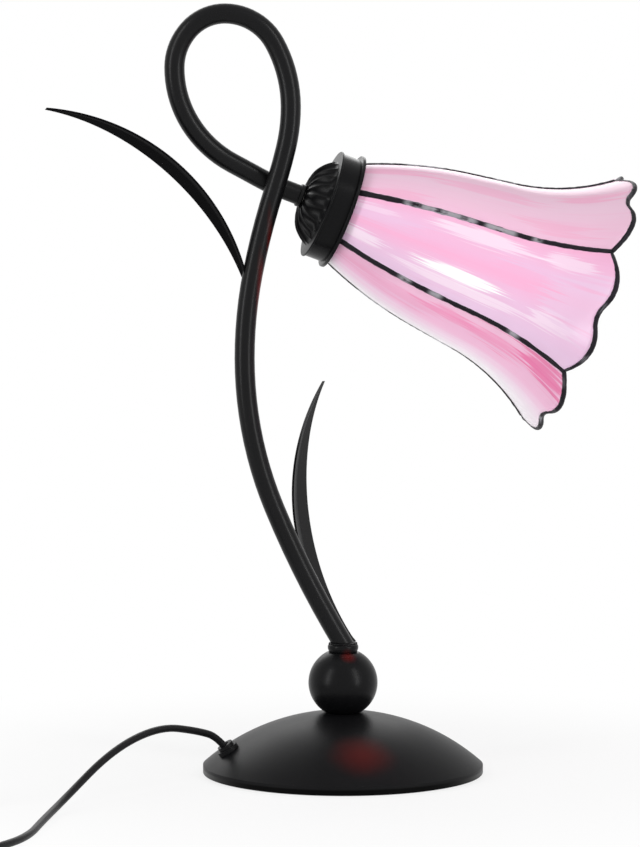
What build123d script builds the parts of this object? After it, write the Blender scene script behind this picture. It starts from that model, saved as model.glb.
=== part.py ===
from build123d import *
import math
import os

# Table lamp with a lily shade of bent art glass: a domed base and a ball carry one looped tube,
# two steel leaves are welded to it, and the shade hangs from a fluted cap and a fitter ring.
# Millimetres, +Z up, +X towards the shade. The origin is the centre of the base, on the table.

# Shared fits
THREAD_CLEAR = 0.1
SLIP_CLEAR = 0.3

# Base: felt, iron weight, spun dome
BASE_RADIUS = 81.0
FELT_INSET = 3.0
FELT_THICK = 2.0
RIM_BOTTOM = 0.6
RIM_TOP = 5.4
CROWN_HEIGHT = 30.5
DOME_WALL = 1.6
SEAT_RADIUS = 11.5
WEIGHT_INSET = 25.0
WEIGHT_THICK = 12.0
WEIGHT_BEVEL = 3.0
HUB_RADIUS = 16.0
RECESS_RADIUS = 15.0
RECESS_HEIGHT = 9.0
LEAD_SLOT_WIDTH = 9.0
LEAD_SLOT_HEIGHT = 5.0

# Hollow rod that clamps the base, with its nut and washer
ROD_RADIUS = 4.85
ROD_BORE = 3.4
ROD_TAIL = 1.5
NUT_FLATS = 14.0
NUT_THICK = 4.0
WASHER_RADIUS = 11.0
WASHER_THICK = 1.5

# Ball and collar on top of the base
BALL_RADIUS = 20.0
BALL_WALL = 3.0
BALL_FLAT = 9.7
COLLAR_RADIUS = 8.85
COLLAR_HEIGHT = 5.0
COLLAR_FILLET = 1.6
COLLAR_TAPER = 0.8
COLLAR_CROWN = 1.2

# Looped stem: each node is (x, height above the collar, heading, share of the sideways rise).
# A heading of 0 degrees is straight up, and it grows towards -X.
STEM_RADIUS = 5.8
STEM_WALL = 1.0
LOOP_GAP = 1.5
LOOP_LENGTH = 266.0
STEM_NODES = [
    (0.0, 0.0, 31.0, 0.0),
    (-57.0, 165.5, 0.0, 0.0),
    (-39.7, 262.3, -18.0, 0.0),
    (-30.1, 309.5, 0.0, 0.18),
    (-67.3, 362.1, 90.0, 0.46),
    (-95.9, 331.5, 180.0, 0.64),
    (-62.3, 277.0, 242.0, 0.92),
]
STEM_END_X = -24.3
STEM_END_HEIGHT = 258.8
HEAD_TILT = 21.0
STEM_BURY = 6.0

# Leaves: one pressed blade, used twice
LEAF_LENGTH = 149.4
LEAF_WIDTH = 18.0
LEAF_FOOT = 4.6
LEAF_THICK = 1.4
LEAF_SAG = 24.9
LEAF_CREASE = 14.0
LEAF_BELLY = 0.42
LEAF_ROOT = 5.0
UPPER_LEAF_X = -55.6
UPPER_LEAF_Y = 0.0
UPPER_LEAF_HEIGHT = 212.1
UPPER_LEAF_LEAN = 49.7
UPPER_LEAF_ROLL = 69.7
LOWER_LEAF_X = 3.1
LOWER_LEAF_Y = 6.0
LOWER_LEAF_HEIGHT = 3.0
LOWER_LEAF_LEAN = 5.5
LOWER_LEAF_ROLL = -56.3

# Ferrule, nipple, fluted cap and fitter ring, along the tilted head axis
FERRULE_RADIUS = 6.7
FERRULE_LENGTH = 2.8
FERRULE_ROUND = 0.7
NIPPLE_RADIUS = 5.0
NIPPLE_SPIGOT = 8.0
NIPPLE_ENTRY = 8.0
NIPPLE_BORE = 3.4
CAP_TOP_RADIUS = 7.0
CAP_RADIUS = 25.7
CAP_BULGE_RADIUS = 16.8
CAP_BULGE_DEPTH = 3.2
CAP_DEPTH = 11.8
CAP_WALL = 1.2
FLUTES = 22
FLUTE_DEPTH = 1.3
CAP_LEVELS = 5
BRIM_RADIUS = 32.0
BRIM_THICK = 1.2
RING_RADIUS = 31.2
RING_WALL = 1.0
RING_LENGTH = 12.7
RING_LIP_RADIUS = 33.9
RING_LIP_LENGTH = 2.4
RING_WEB_RADIUS = 22.0

# Lampholder and candle bulb
HOLDER_RADIUS = 14.0
HOLDER_TAIL_RADIUS = 6.6
HOLDER_TAIL = 4.5
HOLDER_SHOULDER_RADIUS = 18.0
HOLDER_SHOULDER = 2.0
HOLDER_REACH = 17.0
HOLDER_BORE = 8.4
HOLDER_FLOOR = 3.0
SHELL_WALL = 0.6
SHELL_LENGTH = 18.0
CONTACT_RADIUS = 3.0
CONTACT_THICK = 2.0
SHADE_RING_RADIUS = 20.0
SHADE_RING_LENGTH = 8.0
SHADE_RING_FLANGE = 2.2
SHADE_RING_BARREL = 17.0
BULB_CAP_RADIUS = 6.9
BULB_CAP_LENGTH = 21.0
BULB_TIP_RADIUS = 2.4
BULB_TIP_BASE = 3.6
BULB_TIP_LENGTH = 2.6
BULB_RADIUS = 17.5
BULB_NECK_RADIUS = 6.6
BULB_BELLY_AT = 28.0
BULB_LENGTH = 74.0
BULB_TIP_ROUND = 3.0
BULB_WALL = 0.9

# Shade: six bent petals with solder seams and foiled lips
PETALS = 6
PETAL_CLOCK = 94.3
PETAL_SPARE = 3.0
NECK_INSET = 6.0
NECK_END_RADIUS = 26.3
NECK_ANGLE = 23.3
BELL_RADIUS = 270.0
WAIST_ANGLE = 8.5
FLARE_DEPTH = 58.9
FLARE_RADIUS = 115.0
GLASS_THICK = 2.6
SEAM_GAP = 0.8
SEAM_RADIUS = 1.9
SEAM_DROP = 9.2
SEAM_START = 1.2
NOTCH_LENGTH = 151.4
NOTCH_RADIUS = 20.0
NOTCH_ANGLE = 22.0
LOBE_RADIUS = 28.0
LOBE_SWEEP = 62.0
FOIL_WIDTH = 2.4
FOIL_EDGE = 0.8
FOIL_PROUD = 0.5
NECK_PLATE_THICK = 1.2
NECK_PLATE_RADIUS = 29.4
NECK_RIM_HEIGHT = 2.4
NECK_RIM_WALL = 0.8

# Cord, its bushing in the dome, its switch and its plug
CORD_RADIUS = 2.1
BEND_SHARE = 0.45
BUSHING_INSET = 13.3
BUSHING_CLOCK = 186.0
BUSHING_RADIUS = 6.2
BUSHING_FLANGE = 2.4
BUSHING_CROWN_RADIUS = 4.7
BUSHING_CROWN = 4.6
BUSHING_SHANK_RADIUS = 4.2
BUSHING_SHANK = 5.0
CORD_INSIDE = 8.5
CORD_RISE = 9.5
CORD_ROUTE = [
    (-86.8, -16.0, 29.1),
    (-110.1, -33.0, 34.7),
    (-139.7, -62.0, 26.5),
    (-170.5, -98.0, 4.5),
    (-184.5, -143.0, 2.4),
    (-196.0, -190.0, 2.2),
    (-216.0, -219.0, 2.2),
    (-233.4, -231.8, 2.3),
    (-249.3, -233.2, 3.0),
    (-263.6, -225.9, 5.0),
]
SWITCH_LEAD_IN = 15.0
SWITCH_LEAD_OUT = 14.0
COIL_LEAD_IN = 12.0
COIL_LEAD_OUT = 16.0
PLUG_LEAD_IN = 16.0
SWITCH_X = -272.1
SWITCH_Y = -197.3
SWITCH_LENGTH = 62.0
SWITCH_WIDTH = 22.0
SWITCH_HEIGHT = 15.0
SWITCH_PARTING = 7.5
SWITCH_ROUND = 3.2
SLEEVE_RADIUS = 4.2
SLEEVE_LENGTH = 4.0
ROCKER_LENGTH = 14.0
ROCKER_WIDTH = 8.0
ROCKER_DIP = 0.9
ROCKER_THROW = 16.0
ROCKER_PIVOT_Z = 10.2
ROCKER_TOP = 5.3
ROCKER_BOTTOM = 2.0
ROCKER_CLEAR = 0.9
TRUNNION_RADIUS = 1.2
TRUNNION_LENGTH = 1.6
SWITCH_WELL_FLOOR = 5.0
SCREW_RADIUS = 1.4
SCREW_HEAD_RADIUS = 2.6
SCREW_HEAD = 1.6
SCREW_LENGTH = 9.0
SCREW_OFFSET = 22.0
COIL_X = -244.5
COIL_Y = -76.0
COIL_PITCH = 5.25
COIL_INNER = 20.4
COIL_LAYERS = [1.75, 1.5, 1.5, 1.75]
COIL_CLIMB = 0.5
TIE_THICK = 0.8
TIE_WIDTH = 5.0
TIE_CLEAR = 0.4
PLUG_Y = -13.0
PLUG_LENGTH = 35.0
PLUG_WIDTH = 35.0
PLUG_NOSE = 26.0
PLUG_THICK = 13.7
PLUG_ROUND = 2.5
RELIEF_LENGTH = 22.0
RELIEF_RADIUS = 5.2
RELIEF_TIP_RADIUS = 3.2
PIN_RADIUS = 2.0
PIN_LENGTH = 19.0
PIN_SPACING = 18.6
PIN_ROUND = 1.2

os.makedirs("parts", exist_ok=True)


def save(piece, name):
    piece.part.label = name
    export_step(piece.part, f"parts/{name}.step")


def turned(plane, axis, outline):
    """A turned piece from its half outline, given as (radius, height) points on the plane."""
    with BuildPart() as piece:
        with BuildSketch(plane):
            with BuildLine():
                Polyline(*outline, close=True)
            make_face()
        revolve(axis=axis)
    return piece


def arcs_through(nodes):
    """Tangent arcs, two for each span, through (point, heading) nodes."""
    for (start, out), (end, into) in zip(nodes, nodes[1:]):
        chord = end - start
        turn = 2 * (1 - out.dot(into))
        along = chord.dot(out + into)
        reach = (math.sqrt(along**2 + turn * chord.dot(chord)) - along) / turn
        middle = (start + end + (out - into) * reach) * 0.5
        across = ((end - into * reach) - (start + out * reach)).normalized()
        TangentArc(start, middle, tangent=out)
        TangentArc(middle, end, tangent=across)


def bend_radii(points):
    """The largest arc that the two runs at each corner of a cord allow."""
    radii = []
    for a, b, c in zip(points, points[1:], points[2:]):
        before = b - a
        after = c - b
        half_turn = math.radians(before.get_angle(after)) / 2
        radii.append(BEND_SHARE * min(before.length, after.length) / math.tan(half_turn))
    return radii


def cord_tube(points, name):
    """A round cord along straight runs joined by tangent arcs."""
    points = [Vector(*p) for p in points]
    radii = bend_radii(points)
    with BuildPart() as cord:
        with BuildLine() as route:
            FilletPolyline(*points, radius=radii)
        with BuildSketch(Plane(origin=points[0], z_dir=points[1] - points[0])):
            Circle(CORD_RADIUS)
        sweep()
    section = math.pi * CORD_RADIUS**2
    length = sum(edge.length for edge in route.edges())
    print(name, "length", round(length, 1), "radii", [round(r, 1) for r in radii])
    print(name, "volume over section times length", round(cord.part.volume / (section * length), 5))
    return cord


# Heights of the base stack
dome_sphere = (BASE_RADIUS**2 + CROWN_HEIGHT**2) / (2 * CROWN_HEIGHT)
dome_centre = RIM_TOP + CROWN_HEIGHT - dome_sphere


def dome_height(radius, inset=0.0):
    return dome_centre + math.sqrt((dome_sphere - inset) ** 2 - radius**2)


seat_z = dome_height(SEAT_RADIUS)
under_seat_z = seat_z - DOME_WALL
inner_seat = math.sqrt((dome_sphere - DOME_WALL) ** 2 - (under_seat_z - dome_centre) ** 2)
recess_top = FELT_THICK + RECESS_HEIGHT
nut_bottom = recess_top - WASHER_THICK - NUT_THICK
ball_half = math.sqrt(BALL_RADIUS**2 - BALL_FLAT**2)
ball_z = seat_z + ball_half
collar_bottom = ball_z + ball_half
collar_top = collar_bottom + COLLAR_HEIGHT
rod_hole = ROD_RADIUS + THREAD_CLEAR

# Felt pad under the base
with BuildPart() as base_felt:
    with BuildSketch():
        Circle(BASE_RADIUS - FELT_INSET)
    extrude(amount=FELT_THICK)
save(base_felt, "base_felt")

# Cast-iron weight: a bevelled disc with a hub up to the crown, a nut recess and a lead slot
weight_radius = BASE_RADIUS - WEIGHT_INSET
with BuildPart() as base_weight:
    with BuildSketch(Plane.XZ):
        with BuildLine():
            Polyline(
                (rod_hole, recess_top),
                (RECESS_RADIUS, recess_top),
                (RECESS_RADIUS, FELT_THICK),
                (weight_radius, FELT_THICK),
                (weight_radius, FELT_THICK + WEIGHT_THICK - WEIGHT_BEVEL),
                (weight_radius - WEIGHT_BEVEL, FELT_THICK + WEIGHT_THICK),
                (HUB_RADIUS, FELT_THICK + WEIGHT_THICK),
                (inner_seat - SLIP_CLEAR, under_seat_z),
                (rod_hole, under_seat_z),
                close=True,
            )
        make_face()
    revolve(axis=Axis.Z)
    with BuildSketch(Plane.XY.offset(FELT_THICK)):
        with PolarLocations(weight_radius, 1, BUSHING_CLOCK):
            Rectangle(2 * weight_radius, LEAD_SLOT_WIDTH)
    extrude(amount=LEAD_SLOT_HEIGHT, mode=Mode.SUBTRACT)
save(base_weight, "base_weight")

# The bushing stands square to the dome, on the side away from the shade
bushing_radius = BASE_RADIUS - BUSHING_INSET
bushing_out = Vector(math.cos(math.radians(BUSHING_CLOCK)), math.sin(math.radians(BUSHING_CLOCK)), 0)
bushing_side = Vector(0, 0, 1).cross(bushing_out)
bushing_seat = bushing_out * bushing_radius + Vector(0, 0, dome_height(bushing_radius))
bushing_axis = (bushing_seat - Vector(0, 0, dome_centre)).normalized()
bushing_plane = Plane(origin=bushing_seat, x_dir=bushing_side, z_dir=bushing_axis)

# Spun dome with a flat seat on its crown and a rolled rim
rim_inside = BASE_RADIUS - DOME_WALL
outer_middle = (SEAT_RADIUS + BASE_RADIUS) / 2
inner_middle = (inner_seat + rim_inside) / 2
with BuildPart() as base_dome:
    with BuildSketch(Plane.XZ):
        with BuildLine():
            Line((rod_hole, under_seat_z), (rod_hole, seat_z))
            Line((rod_hole, seat_z), (SEAT_RADIUS, seat_z))
            ThreePointArc(
                (SEAT_RADIUS, seat_z),
                (outer_middle, dome_height(outer_middle)),
                (BASE_RADIUS, RIM_TOP),
            )
            Line((BASE_RADIUS, RIM_TOP), (BASE_RADIUS, RIM_BOTTOM))
            Line((BASE_RADIUS, RIM_BOTTOM), (rim_inside, RIM_BOTTOM))
            Line((rim_inside, RIM_BOTTOM), (rim_inside, dome_height(rim_inside, DOME_WALL)))
            ThreePointArc(
                (rim_inside, dome_height(rim_inside, DOME_WALL)),
                (inner_middle, dome_height(inner_middle, DOME_WALL)),
                (inner_seat, under_seat_z),
            )
            Line((inner_seat, under_seat_z), (rod_hole, under_seat_z))
        make_face()
    revolve(axis=Axis.Z)
    with BuildSketch(bushing_plane):
        Circle(BUSHING_SHANK_RADIUS)
    extrude(amount=BUSHING_SHANK, both=True, mode=Mode.SUBTRACT)
    rim_edge = base_dome.edges().group_by(Axis.Z)[0].sort_by(SortBy.RADIUS)[-1]
    fillet(rim_edge, DOME_WALL / 3)
save(base_dome, "base_dome")

# Hollow tie rod, from under the nut up into the collar
rod_top = collar_top - COLLAR_CROWN
with BuildPart() as tie_rod:
    with BuildSketch(Plane.XY.offset(nut_bottom - ROD_TAIL)):
        Circle(ROD_RADIUS)
        Circle(ROD_BORE, mode=Mode.SUBTRACT)
    extrude(amount=rod_top - nut_bottom + ROD_TAIL)
save(tie_rod, "tie_rod")

with BuildPart() as base_nut:
    with BuildSketch(Plane.XY.offset(nut_bottom)):
        RegularPolygon(NUT_FLATS / 2, 6, major_radius=False)
        Circle(rod_hole, mode=Mode.SUBTRACT)
    extrude(amount=NUT_THICK)
save(base_nut, "base_nut")

with BuildPart() as base_washer:
    with BuildSketch(Plane.XY.offset(nut_bottom + NUT_THICK)):
        Circle(WASHER_RADIUS)
        Circle(rod_hole, mode=Mode.SUBTRACT)
    extrude(amount=WASHER_THICK)
save(base_washer, "base_washer")

# Hollow steel ball with a flat above and below
with BuildPart() as ball:
    with BuildSketch(Plane.XZ):
        with Locations((0, ball_z)):
            Circle(BALL_RADIUS)
            Circle(BALL_RADIUS - BALL_WALL, mode=Mode.SUBTRACT)
        with Locations((BALL_RADIUS, ball_z)):
            Rectangle(2 * (BALL_RADIUS - rod_hole), 2 * ball_half, mode=Mode.INTERSECT)
    revolve(axis=Axis.Z)
save(ball, "ball")

# Rounded collar that the stem is welded to
with BuildPart() as foot_collar:
    with BuildSketch(Plane.XZ):
        with BuildLine():
            Polyline(
                (rod_hole, collar_bottom),
                (COLLAR_RADIUS - COLLAR_TAPER, collar_bottom),
                (COLLAR_RADIUS, collar_bottom + COLLAR_HEIGHT / 2),
                (COLLAR_RADIUS, collar_top),
                (ROD_BORE, collar_top),
                (ROD_BORE, rod_top),
                (rod_hole, rod_top),
                close=True,
            )
        make_face()
    revolve(axis=Axis.Z)
    fillet(foot_collar.edges().group_by(Axis.Z)[-1].sort_by(SortBy.RADIUS)[-1], COLLAR_FILLET)
save(foot_collar, "foot_collar")

# Stem: the loop rises sideways by one tube and a gap, so that its tail passes behind it
loop_rise = 2 * STEM_RADIUS + LOOP_GAP
head_axis = Vector(math.cos(math.radians(HEAD_TILT)), 0, -math.sin(math.radians(HEAD_TILT)))
stem_path = []
for x, height, heading, share in STEM_NODES:
    side = loop_rise * share**2 * (3 - 2 * share)
    drift = loop_rise * 6 * share * (1 - share) / LOOP_LENGTH
    turn = math.radians(heading)
    direction = Vector(-math.sin(turn), drift, math.cos(turn)).normalized()
    stem_path.append((Vector(x, side, collar_top + height), direction))
stem_end = Vector(STEM_END_X, loop_rise, collar_top + STEM_END_HEIGHT)
spigot_start = stem_end - head_axis * NIPPLE_SPIGOT
stem_path.append((spigot_start, head_axis))
foot_point, foot_heading = stem_path[0]
buried_point = foot_point - foot_heading * STEM_BURY

with BuildPart() as stem_solid:
    with BuildLine() as stem_line:
        Line(buried_point, foot_point)
        arcs_through(stem_path)
        Line(spigot_start, stem_end)
    with BuildSketch(Plane(origin=buried_point, z_dir=foot_heading)):
        Circle(STEM_RADIUS)
    sweep()
    split(bisect_by=Plane.XY.offset(collar_top), keep=Keep.TOP)

with BuildPart() as stem_tube:
    with BuildSketch(Plane(origin=buried_point, z_dir=foot_heading)):
        Circle(STEM_RADIUS)
        Circle(STEM_RADIUS - STEM_WALL, mode=Mode.SUBTRACT)
    sweep(path=stem_line.line)
    split(bisect_by=Plane.XY.offset(collar_top), keep=Keep.TOP)
save(stem_tube, "stem_tube")


def leaf(foot, lean, roll, fit_to):
    """A creased blade, bent to an arc and coped to what it is welded to."""
    lean = math.radians(lean)
    roll = math.radians(roll)
    chord = Vector(-math.sin(lean), 0, math.cos(lean))
    across = Vector(math.cos(lean), 0, math.sin(lean))
    bulge = across * math.sin(roll) + Vector(0, 1, 0) * math.cos(roll)
    width = bulge.cross(chord)
    bend = LEAF_LENGTH**2 / (8 * LEAF_SAG) + LEAF_SAG / 2
    centre = foot + chord * (LEAF_LENGTH / 2) - bulge * (bend - LEAF_SAG)
    root_turn = math.asin(LEAF_LENGTH / 2 / bend) + LEAF_ROOT / bend
    root_way = bulge * math.cos(root_turn) - chord * math.sin(root_turn)
    slope = math.tan(math.radians(LEAF_CREASE))
    with BuildPart() as blade:
        with BuildSketch(Plane(origin=centre, x_dir=width, z_dir=width.cross(root_way))):
            with BuildLine():
                Polyline(
                    (0, bend),
                    (LEAF_WIDTH, bend - slope * LEAF_WIDTH),
                    (LEAF_WIDTH, bend - slope * LEAF_WIDTH - LEAF_THICK),
                    (0, bend - LEAF_THICK),
                    (-LEAF_WIDTH, bend - slope * LEAF_WIDTH - LEAF_THICK),
                    (-LEAF_WIDTH, bend - slope * LEAF_WIDTH),
                    close=True,
                )
            make_face()
        revolve(axis=Axis(centre, width), revolution_arc=math.degrees(2 * root_turn))
        with BuildSketch(Plane(origin=foot, x_dir=chord, z_dir=bulge)):
            with BuildLine():
                belly = LEAF_BELLY * LEAF_LENGTH
                Line((-LEAF_ROOT, -LEAF_FOOT / 2), (-LEAF_ROOT, LEAF_FOOT / 2))
                Line((-LEAF_ROOT, LEAF_FOOT / 2), (0, LEAF_FOOT / 2))
                ThreePointArc((0, LEAF_FOOT / 2), (belly, LEAF_WIDTH / 2), (LEAF_LENGTH, 0))
                ThreePointArc((LEAF_LENGTH, 0), (belly, -LEAF_WIDTH / 2), (0, -LEAF_FOOT / 2))
                Line((0, -LEAF_FOOT / 2), (-LEAF_ROOT, -LEAF_FOOT / 2))
            make_face()
        extrude(amount=LEAF_LENGTH, both=True, mode=Mode.INTERSECT)
        for carrier in fit_to:
            add(carrier.part, mode=Mode.SUBTRACT)
        add(blade.solids().sort_by(SortBy.VOLUME)[-1], mode=Mode.REPLACE)
    return blade


upper_foot = Vector(UPPER_LEAF_X, UPPER_LEAF_Y, collar_top + UPPER_LEAF_HEIGHT)
upper_leaf = leaf(upper_foot, UPPER_LEAF_LEAN, UPPER_LEAF_ROLL, [stem_solid])
save(upper_leaf, "upper_leaf")
lower_foot = Vector(LOWER_LEAF_X, LOWER_LEAF_Y, collar_top + LOWER_LEAF_HEIGHT)
lower_leaf = leaf(lower_foot, LOWER_LEAF_LEAN, LOWER_LEAF_ROLL, [stem_solid, foot_collar])
save(lower_leaf, "lower_leaf")

# Stations along the head axis, from the end of the stem
cap_top = FERRULE_LENGTH
brim_back = cap_top + CAP_DEPTH
ring_back = brim_back + BRIM_THICK
ring_front = ring_back + RING_LENGTH
shade_start = ring_front - NECK_INSET
plate_back = shade_start - NECK_PLATE_THICK
head_turn = Axis(stem_end, head_axis)
head_up = Vector(math.sin(math.radians(HEAD_TILT)), 0, math.cos(math.radians(HEAD_TILT)))
head_near = head_axis.cross(head_up)
nipple_hole = NIPPLE_RADIUS + THREAD_CLEAR


def head_radial(angle):
    """The direction out from the head axis, 0 degrees at the top and 90 on the -Y side."""
    turn = math.radians(angle)
    return head_up * math.cos(turn) + head_near * math.sin(turn)


def head_profile(angle=0.0):
    """The half plane through the head axis: x is the radius, y the distance from the stem."""
    radial = head_radial(angle)
    return Plane(origin=stem_end, x_dir=radial, z_dir=radial.cross(head_axis))


def head_section(station, angle=0.0):
    """A plane square to the head axis."""
    return Plane(origin=stem_end + head_axis * station, x_dir=head_radial(angle), z_dir=head_axis)


# Ferrule ring over the nipple, against the end of the stem
with BuildPart() as stem_ferrule:
    with BuildSketch(head_section(0)):
        Circle(FERRULE_RADIUS)
        Circle(nipple_hole, mode=Mode.SUBTRACT)
    extrude(amount=FERRULE_LENGTH)
    fillet(stem_ferrule.edges().filter_by(GeomType.CIRCLE).sort_by(SortBy.RADIUS)[-2:], FERRULE_ROUND)
save(stem_ferrule, "stem_ferrule")

# Threaded nipple: a spigot in the tube, a thread through ferrule, cap and lampholder
spigot_radius = STEM_RADIUS - STEM_WALL - THREAD_CLEAR
nipple_end = cap_top + CAP_WALL + NIPPLE_ENTRY
end_nipple = turned(
    head_profile(),
    head_turn,
    [
        (NIPPLE_BORE, -NIPPLE_SPIGOT),
        (spigot_radius, -NIPPLE_SPIGOT),
        (spigot_radius, 0),
        (NIPPLE_RADIUS, 0),
        (NIPPLE_RADIUS, nipple_end),
        (NIPPLE_BORE, nipple_end),
    ],
)
save(end_nipple, "end_nipple")

# Fluted cap: lofted through scalloped sections, hollowed, with a flat brim
cap_arc = ThreePointArc(
    (CAP_TOP_RADIUS, cap_top),
    (CAP_BULGE_RADIUS, cap_top + CAP_BULGE_DEPTH),
    (CAP_RADIUS, brim_back),
)
hollow_inset = CAP_WALL + FLUTE_DEPTH
with BuildPart() as canopy_cap:
    for level in range(CAP_LEVELS):
        ridge = cap_arc @ (level / (CAP_LEVELS - 1))
        valley = ridge.X - FLUTE_DEPTH * ridge.X / CAP_RADIUS
        with BuildSketch(head_section(ridge.Y)):
            with BuildLine():
                for k in range(FLUTES):
                    step = 2 * math.pi / FLUTES
                    corners = [(ridge.X, k), (valley, k + 0.5), (ridge.X, k + 1)]
                    ThreePointArc(*[(r * math.cos(n * step), r * math.sin(n * step)) for r, n in corners])
            make_face()
    loft(ruled=True)
    with BuildSketch(head_section(brim_back)):
        Circle(BRIM_RADIUS)
    extrude(amount=BRIM_THICK)
    with BuildSketch(head_profile()):
        with BuildLine():
            hollow_top = (CAP_TOP_RADIUS, cap_top + CAP_WALL)
            hollow_rim = (CAP_RADIUS - hollow_inset, ring_back)
            hollow_bulge = (CAP_BULGE_RADIUS - hollow_inset / 2, cap_top + CAP_BULGE_DEPTH + hollow_inset)
            Polyline((0, ring_back), (0, hollow_top[1]), hollow_top)
            ThreePointArc(hollow_top, hollow_bulge, hollow_rim)
            Line(hollow_rim, (0, ring_back))
        make_face()
    revolve(axis=head_turn, mode=Mode.SUBTRACT)
    with BuildSketch(head_section(0)):
        Circle(nipple_hole)
    extrude(amount=ring_back, mode=Mode.SUBTRACT)
save(canopy_cap, "canopy_cap")

# Fitter ring: a smooth band, a web behind the brim and a rolled front lip
ring_inside = RING_RADIUS - RING_WALL
lip_start = ring_front - RING_LIP_LENGTH
with BuildPart() as fitter_ring:
    with BuildSketch(head_profile()):
        with BuildLine():
            Polyline(
                (RING_WEB_RADIUS, ring_back),
                (RING_RADIUS, ring_back),
                (RING_RADIUS, lip_start),
                (RING_LIP_RADIUS, lip_start + RING_WALL / 2),
                (RING_LIP_RADIUS, ring_front),
                (ring_inside, ring_front),
                (ring_inside, ring_back + RING_WALL),
                (RING_WEB_RADIUS, ring_back + RING_WALL),
                close=True,
            )
        make_face()
    revolve(axis=head_turn)
    fillet(fitter_ring.edges().filter_by(GeomType.CIRCLE).sort_by(SortBy.RADIUS)[-2:], RING_WALL / 2)
save(fitter_ring, "fitter_ring")

# Lampholder: tail, shoulder that carries the shade, threaded barrel and screw-shell bore
holder_back = cap_top + CAP_WALL
holder_front = ring_front + HOLDER_REACH
holder_floor = nipple_end + HOLDER_FLOOR
lampholder = turned(
    head_profile(),
    head_turn,
    [
        (0, nipple_end),
        (nipple_hole, nipple_end),
        (nipple_hole, holder_back),
        (HOLDER_TAIL_RADIUS, holder_back),
        (HOLDER_TAIL_RADIUS, holder_back + HOLDER_TAIL),
        (HOLDER_RADIUS, nipple_end),
        (HOLDER_RADIUS, plate_back - HOLDER_SHOULDER),
        (HOLDER_SHOULDER_RADIUS, plate_back - HOLDER_SHOULDER),
        (HOLDER_SHOULDER_RADIUS, plate_back),
        (HOLDER_RADIUS, plate_back),
        (HOLDER_RADIUS, holder_front),
        (HOLDER_BORE, holder_front),
        (HOLDER_BORE, holder_floor),
        (0, holder_floor),
    ],
)
save(lampholder, "lampholder")

shell_outside = HOLDER_BORE - THREAD_CLEAR
screw_shell = turned(
    head_profile(),
    head_turn,
    [
        (shell_outside, holder_floor),
        (shell_outside, holder_floor + SHELL_LENGTH),
        (shell_outside - SHELL_WALL, holder_floor + SHELL_LENGTH),
        (shell_outside - SHELL_WALL, holder_floor),
    ],
)
save(screw_shell, "screw_shell")

with BuildPart() as centre_contact:
    with BuildSketch(head_section(holder_floor)):
        Circle(CONTACT_RADIUS)
    extrude(amount=CONTACT_THICK)
save(centre_contact, "centre_contact")

# Threaded ring that clamps the neck plate of the shade against the lampholder's shoulder
ring_thread = HOLDER_RADIUS + THREAD_CLEAR
shade_ring = turned(
    head_profile(),
    head_turn,
    [
        (ring_thread, shade_start),
        (SHADE_RING_RADIUS, shade_start),
        (SHADE_RING_RADIUS, shade_start + SHADE_RING_FLANGE),
        (SHADE_RING_BARREL, shade_start + SHADE_RING_FLANGE),
        (SHADE_RING_BARREL, shade_start + SHADE_RING_LENGTH),
        (ring_thread, shade_start + SHADE_RING_LENGTH),
    ],
)
save(shade_ring, "shade_ring")

# Candle bulb: cap with a tip contact, thin glass
tip_start = holder_floor + CONTACT_THICK
bulb_cap_start = tip_start + BULB_TIP_LENGTH
bulb_start = bulb_cap_start + BULB_CAP_LENGTH
bulb_cap = turned(
    head_profile(),
    head_turn,
    [
        (0, tip_start),
        (BULB_TIP_RADIUS, tip_start),
        (BULB_TIP_BASE, bulb_cap_start),
        (BULB_CAP_RADIUS, bulb_cap_start),
        (BULB_CAP_RADIUS, bulb_start),
        (0, bulb_start),
    ],
)
save(bulb_cap, "bulb_cap")

bulb_belly = bulb_start + BULB_BELLY_AT
bulb_tip = bulb_start + BULB_LENGTH
with BuildPart() as bulb_glass:
    for inset, mode in ((0, Mode.ADD), (BULB_WALL, Mode.SUBTRACT)):
        neck = (BULB_NECK_RADIUS - inset, bulb_start)
        belly = (BULB_RADIUS - inset, bulb_belly)
        shoulder = (BULB_TIP_ROUND, bulb_tip - BULB_TIP_ROUND - inset)
        tip = (0, bulb_tip - inset)
        with BuildSketch(head_profile()):
            with BuildLine():
                Line((0, bulb_start), neck)
                Spline(neck, belly, shoulder, tangents=[(0, 1), (-1, 2)])
                Line(shoulder, tip)
                Line(tip, (0, bulb_start))
            make_face()
        revolve(axis=head_turn, mode=mode)
save(bulb_glass, "bulb_glass")

# Neck plate of the shade: a tinned cup that the petals are soldered into
neck_plate = turned(
    head_profile(),
    head_turn,
    [
        (HOLDER_RADIUS + SLIP_CLEAR, plate_back),
        (NECK_PLATE_RADIUS, plate_back),
        (NECK_PLATE_RADIUS, shade_start + NECK_RIM_HEIGHT),
        (NECK_PLATE_RADIUS - NECK_RIM_WALL, shade_start + NECK_RIM_HEIGHT),
        (NECK_PLATE_RADIUS - NECK_RIM_WALL, shade_start),
        (HOLDER_RADIUS + SLIP_CLEAR, shade_start),
    ],
)
save(neck_plate, "neck_plate")


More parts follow.
